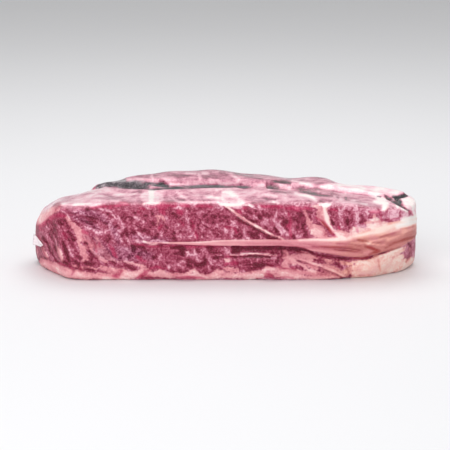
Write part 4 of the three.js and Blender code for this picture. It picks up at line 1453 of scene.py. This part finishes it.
@dataclass(frozen=True)
class Ramp:
    """Colours as seen on a screen, from dark to light, at places from 0 to 1."""

    stops: tuple[tuple[float, Triple], ...]

    def on(self, graph: Graph, level: Signal) -> Signal:
        """The ramp's colour at a level from 0 to 1, added to a material."""
        stops = [(place, colour(*tint)) for place, tint in self.stops]
        return graph.node("ShaderNodeValToRGB", {"stops": stops}, {"Fac": level})


@dataclass(frozen=True)
class BeefFinish:
    """Moist lean beef with fine marbling, seams of fat and flushed edges, close under film, with
    painted glare, highlights and shade in its colours.
    """

    lean: Ramp = Ramp((
        (0.0, (104, 22, 44)), (0.2, (131, 38, 64)), (0.36, (154, 57, 84)), (0.5, (173, 78, 104)),
        (0.64, (192, 104, 129)), (0.8, (216, 144, 165)), (1.0, (242, 192, 205)),
    ))
    fat: Ramp = Ramp((
        (0.0, (130, 38, 60)), (0.28, (194, 100, 118)), (0.5, (223, 142, 153)),
        (0.7, (236, 166, 172)), (0.85, (246, 194, 196)), (1.0, (253, 226, 222)),
    ))
    warm: Ramp = Ramp((
        (0.0, (112, 34, 38)), (0.25, (184, 100, 98)), (0.5, (208, 132, 128)),
        (0.7, (240, 170, 158)), (0.85, (248, 194, 182)), (1.0, (254, 226, 216)),
    ))
    # The top: pale fat and silver skin, paler still with painted glare of the light on the film.
    top: Ramp = Ramp((
        (0.0, (60, 14, 30)), (0.2, (134, 46, 78)), (0.36, (192, 106, 134)), (0.5, (228, 154, 175)),
        (0.64, (244, 187, 201)), (0.8, (253, 217, 225)), (1.0, (255, 248, 244)),
    ))
    # Colours of the painted shade and dark reflection in the top's creases.
    crease_shade: Ramp = Ramp((
        (0.0, (38, 34, 40)), (0.3, (88, 80, 86)), (0.5, (140, 128, 134)), (0.7, (188, 176, 182)),
        (1.0, (236, 226, 228)),
    ))
    blood: Ramp = Ramp((
        (0.0, (108, 10, 40)), (0.3, (150, 24, 64)), (0.5, (182, 46, 88)), (0.7, (204, 80, 116)),
        (1.0, (232, 134, 158)),
    ))
    rust: Triple = (160, 56, 52)
    mauve: Ramp = Ramp((
        (0.0, (72, 26, 50)), (0.3, (124, 62, 92)), (0.5, (174, 108, 138)), (0.75, (216, 168, 190)),
        (1.0, (240, 214, 226)),
    ))
    level: float = 0.44
    fine: float = 0.6
    broad: float = 0.1
    veil_strength: float = 0.42
    blood_strength: float = 0.85
    rust_strength: float = 0.85
    roughness: float = 0.45
    coat_roughness: float = 0.12
    sheen: float = 0.1
    bump_strength: float = 0.5
    bump_height: float = 0.0006
    borders: tuple[tuple[Tissue, Span], ...] = (
        (Tissue.FAT, (-0.5, 0.8)), (Tissue.BLOOD, (-0.9, 1.1)), (Tissue.RUST, (-0.8, 1.2)),
        (Tissue.GREY, (-0.5, 0.7)), (Tissue.VEIL, (-2.0, 4.0)),
    )

    def material(self) -> Material:
        """Builds the finish.

        Returns:
            The material.
        """
        graph = Graph("beef")
        place = graph.place()
        fine = graph.noise(graph.drifted(place, 0.15, 1.5), self.fine, 3.0, 0.65) - 0.5
        broad = graph.noise(place, self.broad) - 0.5
        veins = self.veins(graph, place)
        uneven = 1.0 - 0.75 * graph.attribute("calm")
        tone = graph.attribute("tone") + self.level + broad * uneven
        ragged = fine * 3.0 + broad * 2.0
        fat = self.shown(graph, Tissue.FAT, ragged)
        blood = self.shown(graph, Tissue.BLOOD, ragged) * (self.blood_strength - veins * 0.4)
        rust = self.shown(graph, Tissue.RUST, fine * 2.0) * self.rust_strength
        crease_shade = self.shown(graph, Tissue.GREY, fine * 2.0)
        mauve = self.shown(graph, Tissue.VEIL, ragged * 2.0) * self.veil_strength
        flesh = tone + fine * uneven * 0.8
        warmth = graph.attribute("warm") * (1.0 + broad * 2.5)
        pale = graph.mixed(warmth, self.fat.on(graph, flesh), self.warm.on(graph, flesh))
        tint = graph.mixed(fat, self.lean.on(graph, tone + fine * 1.6 + veins * 0.09), pale)
        tint = graph.mixed(graph.attribute("top"), tint, self.top.on(graph, tone + fine * 0.6))
        tint = graph.mixed(mauve, tint, self.mauve.on(graph, tone + fine * 1.6))
        tint = graph.mixed(blood, tint, self.blood.on(graph, tone + fine))
        tint = graph.mixed(rust, tint, colour(*self.rust))
        tint = graph.mixed(crease_shade, tint, self.crease_shade.on(graph, tone + fine * 1.2 - 0.1))
        height = veins * 0.3 + fat * 0.4 + fine
        return graph.finish({
            "Base Color": tint, "Roughness": self.roughness + fine * 0.3,
            "Normal": graph.bump(self.bump_strength, self.bump_height, height),
            "Coat Weight": graph.attribute("gloss"), "Coat Roughness": self.coat_roughness,
            "Specular IOR Level": self.sheen,
        })

    def shown(self, graph: Graph, tissue: Tissue, uneven: Signal) -> Signal:
        """How much of a tissue shows, from 0 to 1, inside a border that is as uneven as asked."""
        low, high = dict(self.borders)[tissue]
        return graph.rise(graph.attribute(tissue.value) + uneven, low, high)

    @staticmethod
    def veins(graph: Graph, place: Signal) -> Signal:
        """Fine marbling: short pale threads that wander through the lean.

        Args:
            graph: The material's graph.
            place: Each point's place in mm.

        Returns:
            How much of a thread shows, from 0 to 1.
        """
        bent = graph.drifted(place, 0.3, 1.5)
        level = graph.noise(bent, 0.16, 1.5)
        thread = graph.rise(level, 0.445, 0.5) * (1.0 - graph.rise(level, 0.5, 0.555))
        return thread * graph.rise(graph.noise(place, 0.22, 2.0), 0.44, 0.6)


@dataclass(frozen=True)
class FilmFinish:
    """Clear smooth film with a streaky whitish haze, stronger where it is slack or doubled; over the
    top the haze is painted glare of the light.
    """

    name: str = "film"
    tint: Triple = (250, 234, 238)
    least_haze: float = 0.01
    streak_turn: Triple = (0.0, math.radians(4), math.radians(8))
    streak_scale: Triple = (0.1, 0.5, 0.9)
    roughness: float = 0.2
    refraction: float = 1.5
    bump_strength: float = 0.4
    bump_height: float = 0.0008

    def material(self) -> Material:
        """Builds the finish.

        Returns:
            The material.
        """
        graph = Graph(self.name)
        place = graph.place()
        ragged = graph.noise(graph.drifted(place, 0.1, 3.0), 0.3, 4.0, 0.65) - 0.5
        sockets = {"Vector": place, "Rotation": self.streak_turn}
        turned = graph.node("ShaderNodeMapping", {"vector_type": "POINT"}, sockets)
        streaks = graph.noise(graph.vector("MULTIPLY", turned, self.streak_scale), 0.35, 4.0, 0.65)
        haze_and_glare = graph.attribute("haze_and_glare") * (1.0 + (streaks - 0.5) * 4.0 + ragged * 2.0)
        height = streaks + ragged * 0.4
        return graph.finish({
            "Base Color": colour(*self.tint), "Roughness": self.roughness, "IOR": self.refraction,
            "Alpha": graph.node("ShaderNodeClamp", {}, {0: haze_and_glare + self.least_haze}),
            "Normal": graph.bump(self.bump_strength, self.bump_height, height),
        })


@dataclass(frozen=True)
class FloorFinish:
    """Plain pale matt floor with the faintest unevenness."""

    pale: Triple = (238, 238, 240)
    dull: Triple = (210, 210, 214)
    unevenness: float = 0.06
    roughness: float = 0.7

    def material(self) -> Material:
        """Builds the finish.

        Returns:
            The material.
        """
        graph = Graph("floor")
        share = graph.noise(graph.place(), 0.004) * self.unevenness
        tint = graph.mixed(share, colour(*self.pale), colour(*self.dull))
        return graph.finish({"Base Color": tint, "Roughness": self.roughness})


def publish(name: str, mesh: Mesh, finish: Material) -> Object:
    """Puts a mesh in the scene with its finish.

    Args:
        name: The piece's name.
        mesh: Its mesh, in metres and in place.
        finish: Its material.

    Returns:
        The piece.
    """
    piece = bpy.data.objects.new(name, mesh)
    mesh.name = name
    mesh.materials.append(finish)
    bpy.context.scene.collection.objects.link(piece)
    return piece


def attach(piece: Object) -> None:
    """Lets a piece stand for the block and ride with it.

    Args:
        piece: The piece.
    """
    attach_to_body(piece, "root")
    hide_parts(NODE)
    LOG.info("%s: %d vertices", piece.name, len(piece.data.vertices))


@dataclass(frozen=True)
class Beef:
    """The cut of beef itself."""

    skin: Skin
    box: Box
    cells: tuple[int, int, int] = (380, 36, 84)
    below_film: float = 0.6
    finish: BeefFinish = BeefFinish()
    # How far each tissue stands proud in mm, and at what depth.
    raised_edge: Span = (-0.6, 1.2)
    raised: tuple[tuple[Tissue, float], ...] = (
        (Tissue.FAT, 0.3), (Tissue.CREAM, 0.3), (Tissue.SHADE, -0.4), (Tissue.DEEP, -0.8),
        (Tissue.GREY, -1.2),
    )
    # How much paler each tissue is on the wall and on the top, and half its soft edge in mm. The
    # painted crease shade has a tone of its own.
    toned: tuple[tuple[Tissue, float, float, float], ...] = (
        (Tissue.CREAM, 0.32, 0.32, 1.8), (Tissue.WHITE, 0.5, 0.5, 1.8),
        (Tissue.GREY, 0.0, 0.0, 0.9), (Tissue.THREAD, 0.32, 0.27, 1.0),
        (Tissue.BRIGHT, 0.34, 0.34, 0.9), (Tissue.SHADE, -0.32, -0.17, 1.0),
        (Tissue.DEEP, -0.5, -0.42, 0.9),
    )
    crease_shade_tone: float = 0.0
    pale: tuple[Tissue, ...] = (Tissue.FAT, Tissue.CREAM, Tissue.WHITE, Tissue.BRIGHT)
    white_edge: Span = (-1.2, 1.2)
    calm_edge: Span = (1.0, 3.5)
    # The top, paler with painted glare, and its shade along the rim and behind the crease.
    top_rim: Span = (3.0, 8.0)
    rim_sway: float = 3.5
    facing_up: Span = (0.3, 0.6)
    top_tone: float = 0.08
    rim_shade: float = 0.08
    shaded_rim: Span = (8.0, 22.0)
    back_shade: float = 0.13
    behind_crease: Span = (0.0, 6.0)
    # The flush under the brow.
    flush: float = 0.08
    flush_height: Span = (-9.0, -2.0)
    flush_start: Span = (-160.0, -100.0)
    # The fold's pale band, which narrows towards the slit, with painted shade at its foot and a painted
    # highlight along its top edge.
    fold_start: Span = (-84.0, -46.0)
    fold_foot: float = -1.2
    fold_soft: float = 0.3
    fold_top: Span = (0.95, 1.25)
    narrowing: float = 1.3
    narrow_part: Span = (0.0, 70.0)
    strand_tone: float = 0.13
    strand_length: float = 14.0
    left_tone: float = 0.14
    left_start: Span = (-84.0, -30.0)
    left_end: Span = (-90.0, 0.0)
    # The warmer fat of the thick end.
    warm_start: Span = (60.0, 130.0)
    cooled: float = 0.9
    cool_edge: Span = (0.9, 1.3)
    fold_fat: Span = (-4.0, 6.0)
    wall_gloss: float = 0.06
    top_gloss: float = 0.8
    dulled: float = 0.75
    # Painted shade at the fold's foot and a painted highlight along its top edge, over its pale band.
    fold_tone: Profile = Profile((
        (-1.3, -0.2), (-1.0, -0.08), (-0.7, 0.0), (0.0, -0.05), (0.5, 0.05), (0.9, 0.22),
        (1.2, 0.15),
    ))
    front_tone: Profile = Profile((
        (-200, 0.0), (-140, 0.0), (-110, 0.03), (-80, 0.0), (-40, 0.0), (20, 0.02),
        (60, 0.03), (90, 0.06), (115, 0.11), (150, 0.16),
    ))

    def build(self) -> Object:
        """Models and dresses the beef.

        Returns:
            The piece.
        """
        shell = Shell(self.skin, self.cells)
        pattern = Pattern()
        depths = {tissue: pattern.read(shell.patch, tissue) for tissue in Tissue}
        lift = np.full(len(shell.patch.place), -self.below_film)
        for tissue, height in self.raised:
            shift = height * step(depths[tissue], *self.raised_edge)
            lift = lift + np.minimum(shift, self.below_film / 2)
        shell.settle(lift, self.box)
        self.dress(shell, depths)
        return publish("beef_cut", shell.mesh, self.finish.material())

    def dress(self, shell: Shell, depths: Mapping[Tissue, Array]) -> None:
        """Marks each vertex with what the beef's finish reads.

        Args:
            shell: The beef's mesh.
            depths: Depth inside each tissue at each vertex.
        """
        patch, mesh = shell.patch, shell.mesh
        across, fold, fold_tone = self.fold(patch)
        rim = self.rim_sway * Grain(11)(patch.on_front, 9, 2)
        rim = rim - self.skin.beyond_walls(patch.place)
        # Painted glare takes the top's colours and dulls the gloss.
        white = step(depths[Tissue.WHITE], *self.white_edge)
        top = step(rim, *self.top_rim) * step(patch.normal[:, 2], *self.facing_up)
        top = np.maximum(top, white)
        tone = between(self.bare_tones(patch, rim, top), fold_tone, fold)
        for tissue, on_wall, on_top, edge in self.toned:
            changed = tone + between(on_wall, on_top, top)
            base = self.crease_shade_tone if tissue is Tissue.GREY else changed
            tone = between(tone, base, step(depths[tissue], -edge, edge))
        mark(mesh, "tone", tone)
        cool = 1 - self.cooled * step(across, *self.cool_edge)
        warm = step(patch.on_front[:, 0], *self.warm_start) * cool * (1 - patch.topness)
        mark(mesh, "warm", warm)
        fat = np.max([depths[tissue] for tissue in self.pale], axis=0)
        fat = np.minimum(fat, np.maximum(-depths[Tissue.LEAN], depths[Tissue.BRIGHT]))
        mark(mesh, Tissue.FAT.value, np.maximum(fat, between(*self.fold_fat, fold)))
        for tissue in (Tissue.BLOOD, Tissue.RUST, Tissue.GREY, Tissue.VEIL):
            mark(mesh, tissue.value, depths[tissue])
        mark(mesh, "top", top)
        mark(mesh, "calm", np.maximum(fold, step(depths[Tissue.CREAM], *self.calm_edge)))
        gloss = self.wall_gloss + self.top_gloss * patch.topness
        mark(mesh, "gloss", gloss * (1 - self.dulled * white))

    def fold(self, patch: Patch) -> tuple[Array, Array, Array]:
        """The long fold along the front wall and the back wall.

        Args:
            patch: The beef's skin.

        Returns:
            Height over the fold's middle as a share of its half height, how much of the fold
            shows, and how pale it is, with painted shade at its foot and a painted highlight along
            its top edge.
        """
        skin, s = self.skin, patch.on_front[:, 0]
        x, _, z = patch.place.T
        half = between(skin.back_fold_half, skin.fold_half(s), patch.frontness)
        over = z - between(skin.back_fold(x), skin.fold_height(s), patch.frontness)
        across = over / half + 2 * patch.topness * np.sign(over)
        along = s * patch.frontness
        lower = self.fold_foot + self.narrowing * step(-along, *self.narrow_part)
        shown = plateau(across, (lower, lower + self.fold_soft), self.fold_top)
        strands = Grain(21)(np.stack((s / self.strand_length, over), axis=1), 2.2, 2)
        left = self.left_tone * step(-s, *self.left_end) * step(s, *self.left_start)
        tone = self.fold_tone(across) + left + self.strand_tone * strands
        return across, shown * step(along, *self.fold_start), tone

    def bare_tones(self, patch: Patch, rim: Array, top: Array) -> Array:
        """How pale the walls and the top are, apart from the fold and the strokes.

        Args:
            patch: The beef's skin.
            rim: Distance in from the top's rim, in mm.
            top: How much of the top shows.

        Returns:
            The tone at each vertex.
        """
        x, y, z = patch.place.T
        s = patch.on_front[:, 0]
        flush = self.flush * step(z - self.skin.brow(x), *self.flush_height)
        wall = self.front_tone(s) + flush * step(s, *self.flush_start)
        back = self.back_shade * step(y - self.skin.crease_line(x), *self.behind_crease)
        above = self.top_tone - back - self.rim_shade * (1 - step(rim, *self.shaded_rim))
        return between(wall, above, top)


@dataclass(frozen=True)
class Film:
    """The tight clear film: its wrap all round, its pinched pleats and its small ear."""

    skin: Skin
    box: Box
    cells: tuple[int, int, int] = (220, 44, 56)
    finish: FilmFinish = FilmFinish()
    pinched: FilmFinish = FilmFinish("pinched_film", (255, 196, 206))
    # The painted glare on the top, thinner at the back and in the crease, thicker at both ends.
    top_glare: float = 0.06
    back_clearing: float = 0.5
    back_part: Span = (-5.0, 20.0)
    thin_end_haze: float = 0.2
    thin_end: Span = (120.0, 160.0)
    thick_end_haze: float = 0.5
    thick_end: Span = (140.0, 165.0)
    crease_clearing: float = 0.95
    crease_edge: Span = (-3.0, 0.0)
    # The pleats, each with its radius and the places that it runs through.
    pleat_haze: float = 0.07
    sunk: float = 0.35
    least_share: float = 0.02
    sides: int = 8
    stations: int = 36
    front_pleats: tuple[tuple[float, Knots], ...] = (
        (0.6, ((0.5, 66), (7, 59.5), (23, 49), (39, 40.3), (56, 35.5))),
        (0.45, ((59, 19.5), (75, 14.5), (88, 9), (102, 2.5))),
        (0.35, ((-8, 22), (6, 23.2), (21, 25), (32, 24), (44, 23))),
        (0.3, ((8, 19.6), (24, 21), (34, 20.6), (48, 19.4))),
    )
    top_pleats: tuple[tuple[float, Knots], ...] = (
        (1.0, ((30, -2), (46, -4), (62, -7), (78, -13), (92, -20), (106, -28))),
        (1.0, ((32, 17), (46, 14), (60, 10), (74, 5), (88, -2), (102, -11))),
    )
    # The ear, made along X and then moved to the thin end.
    ear_haze: float = 1.0
    ear_place: Triple = (-164.4, -28.3, 0.0)
    ear_turn: float = -0.96
    ear_length: Span = (-5.0, 12.0)
    ear_middle: Span = (28.2, 26.0)
    ear_half: Span = (4.6, 1.6)
    ear_tip: Span = (0.75, 1.0)
    ear_tip_loss: float = 1.2
    ear_curl: Span = (0.6, 0.5)
    ear_thickness: float = 0.7

    def build(self) -> list[Object]:
        """Models and dresses the film.

        Returns:
            The pieces of film.
        """
        finish = self.finish.material()
        pinched = self.pinched.material()
        return [self.wrap(finish), self.pleats(pinched), self.ear(finish)]

    def wrap(self, finish: Material) -> Object:
        """The film that clings all round.

        Args:
            finish: The film's material.

        Returns:
            The piece.
        """
        shell = Shell(self.skin, self.cells)
        patch = shell.patch
        shell.settle(0.0, self.box)
        x, y, _ = patch.place.T
        forward = 1 - self.back_clearing * step(y, *self.back_part)
        ends = self.thin_end_haze * step(-x, *self.thin_end)
        ends = ends + self.thick_end_haze * step(x, *self.thick_end)
        creased = step(Pattern().read(patch, Tissue.GREY), *self.crease_edge)
        share = patch.topness * (forward + ends) * (1 - self.crease_clearing * creased)
        # Painted glare of the light on the film over the top, cleared in the crease.
        mark(shell.mesh, "haze_and_glare", self.top_glare * share)
        return publish("film_wrap", shell.mesh, finish)

    def pleats(self, finish: Material) -> Object:
        """The pinched pleats over the front wall and the top.

        Args:
            finish: The film's material.

        Returns:
            The piece.
        """
        work = bmesh.new()
        for radius, knots in self.front_pleats:
            across, level = self.resampled(knots)
            starts = np.stack((across, 0 * across, level), axis=1)
            self.sweep(work, radius, self.skin.patch(starts, starts * 0 + (0, -1, 0)))
        for radius, knots in self.top_pleats:
            across, level = self.resampled(knots)
            starts = np.stack((across, level, 0 * across + self.skin.height / 2), axis=1)
            self.sweep(work, radius, self.skin.patch(starts, starts * 0 + (0, 0, 1)))
        return self.piece("film_pleats", work, finish, self.pleat_haze)

    def resampled(self, knots: Knots) -> Array:
        """Even stations on a smooth curve through a pleat's knots.

        Args:
            knots: The places it runs through.

        Returns:
            Two rows: the stations' first and second numbers.
        """
        places = np.array(knots, float).T
        marks = np.arange(places.shape[1], dtype=float)
        even = np.linspace(0, marks[-1], self.stations)
        return np.array([Profile(tuple(zip(marks, row)))(even) for row in places])

    def sweep(self, work: bmesh.types.BMesh, radius: float, patch: Patch) -> None:
        """Runs a round section along a patch of skin, thinner towards both ends.

        Args:
            work: The mesh to add it to.
            radius: The section's radius in mm.
            patch: The stations on the skin.
        """
        share = np.linspace(0, 1, self.stations).clip(self.least_share, 1 - self.least_share)
        girth = radius * np.sqrt(np.sin(np.pi * share))
        route = patch.raised(-self.sunk * radius) * MM
        ways = np.gradient(route, axis=0)
        frames = []
        for place, way, out, size in zip(route, ways, patch.normal, girth * MM):
            ahead = Vector(way).normalized()
            side = Vector(out).cross(ahead).normalized()
            turn = Matrix((side, ahead.cross(side), ahead)).transposed().to_4x4()
            frames.append(Matrix.Translation(place) @ turn @ Matrix.Scale(size, 4))
        ring = bmesh.ops.create_circle(
            work, segments=self.sides, radius=1.0, matrix=frames[0], cap_ends=False
        )["verts"]
        edges = list(dict.fromkeys(e for v in ring for e in v.link_edges))
        bmesh.ops.contextual_create(work, geom=edges)
        for last, frame in zip(frames, frames[1:]):
            made = bmesh.ops.extrude_edge_only(work, edges=edges)["geom"]
            edges = [g for g in made if isinstance(g, bmesh.types.BMEdge)]
            verts = [g for g in made if isinstance(g, bmesh.types.BMVert)]
            bmesh.ops.transform(work, matrix=frame @ last.inverted(), verts=verts)
        bmesh.ops.contextual_create(work, geom=edges)

    def ear(self, finish: Material) -> Object:
        """The small doubled ear of film that stands off the thin end.

        Args:
            finish: The film's material.

        Returns:
            The piece.
        """
        work = bmesh.new()
        bmesh.ops.create_grid(work, x_segments=14, y_segments=8, size=1)
        for vert in work.verts:
            u, v = (vert.co.x + 1) / 2, vert.co.y
            half = between(*self.ear_half, u) - self.ear_tip_loss * step(u, *self.ear_tip)
            wave, twist = self.ear_curl
            curl = wave * math.sin(5 * u + v) + twist * v * u
            height = between(*self.ear_middle, u) + half * v
            vert.co = Vector((between(*self.ear_length, u), curl, height))
        bmesh.ops.solidify(work, geom=work.faces[:], thickness=self.ear_thickness)
        place = Matrix.Translation(self.ear_place) @ Matrix.Rotation(self.ear_turn, 4, "Z")
        bmesh.ops.transform(work, matrix=Matrix.Scale(MM, 4) @ place, verts=work.verts)
        return self.piece("film_ear", work, finish, self.ear_haze)

    def piece(
        self, name: str, work: bmesh.types.BMesh, finish: Material, haze_and_glare: float
    ) -> Object:
        """Turns modelled film into a piece.

        Args:
            name: The piece's name.
            work: The modelled film, in metres.
            finish: The film's material.
            haze_and_glare: How white it is, from 0 to 1.

        Returns:
            The piece.
        """
        bmesh.ops.recalc_face_normals(work, faces=work.faces)
        low, high = self.box
        for vert in work.verts:
            vert.co = Vector(min(max(c, a), b) for c, a, b in zip(vert.co, low, high))
        mesh = smoothed(name, work)
        mark(mesh, "haze_and_glare", np.full(len(mesh.vertices), haze_and_glare))
        return publish(name, mesh, finish)


def aimed(place: Vector, way: Vector) -> Matrix:
    """The turn and place of a lamp or camera that looks a certain way."""
    return Matrix.Translation(place) @ way.to_track_quat("-Z", "Y").to_matrix().to_4x4()


@dataclass(frozen=True)
class Lamp:
    """A square soft light."""

    name: str
    place: Triple
    target: Triple
    size: float
    power: float
    tint: Triple = (1.0, 1.0, 1.0)

    def build(self) -> None:
        """Hangs the light."""
        data = bpy.data.lights.new(self.name, "AREA")
        data.size, data.energy, data.color = self.size, self.power, self.tint
        lamp = bpy.data.objects.new(self.name, data)
        lamp.matrix_world = aimed(self.place, Vector(self.target) - Vector(self.place))
        bpy.context.scene.collection.objects.link(lamp)


@dataclass(frozen=True)
class Studio:
    """The plain pale floor, the soft lights and the camera."""

    floor_half: float = 6.0
    sky: float = 0.5
    lamps: tuple[Lamp, ...] = (
        Lamp("overhead", (0.0, 0.25, 1.3), (0.0, 0.0, 0.0), 1.2, 10.0),
        Lamp("front", (-0.5, -1.5, 0.9), (0.0, 0.0, 0.03), 1.2, 14.0),
    )

    def build(self) -> None:
        """Sets up the whole studio."""
        self.add_floor()
        self.add_sky()
        for lamp in self.lamps:
            lamp.build()
        self.add_camera()
        bpy.context.scene.view_settings.view_transform = "Standard"
        LOG.info("studio: %d lamps", len(self.lamps))

    def add_floor(self) -> None:
        """Lays the floor."""
        work = bmesh.new()
        bmesh.ops.create_grid(work, x_segments=8, y_segments=8, size=self.floor_half)
        publish("floor", smoothed("floor", work), FloorFinish().material())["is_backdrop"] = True

    def add_sky(self) -> None:
        """Fills the space round the object with even light."""
        world = bpy.data.worlds.new("studio")
        world.use_nodes = True
        background = world.node_tree.nodes["Background"]
        background.inputs["Color"].default_value = (1.0, 1.0, 1.0, 1.0)
        background.inputs["Strength"].default_value = self.sky
        bpy.context.scene.world = world

    def add_camera(self) -> None:
        """Points the camera from the photograph's viewing angle."""
        data = bpy.data.cameras.new("camera")
        data.sensor_width = 36.0
        data.lens = data.sensor_width * VIEW.distance / VIEW.width
        camera = bpy.data.objects.new("camera", data)
        place = (Vector(VIEW.target) + VIEW.towards * VIEW.distance) * MM
        camera.matrix_world = aimed(place, -VIEW.towards)
        bpy.context.scene.collection.objects.link(camera)
        bpy.context.scene.camera = camera


def main() -> None:
    """Builds the sealed cut and its studio, and reports each piece."""
    logging.basicConfig(level=logging.INFO, format="%(message)s")
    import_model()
    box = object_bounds()
    skin = Skin()
    pieces = {"beef": [Beef(skin, box).build()], "film": Film(skin, box).build()}
    for slot, made in pieces.items():
        for piece in made:
            attach(piece)
    Studio().build()


if __name__ == "__main__":
    main()
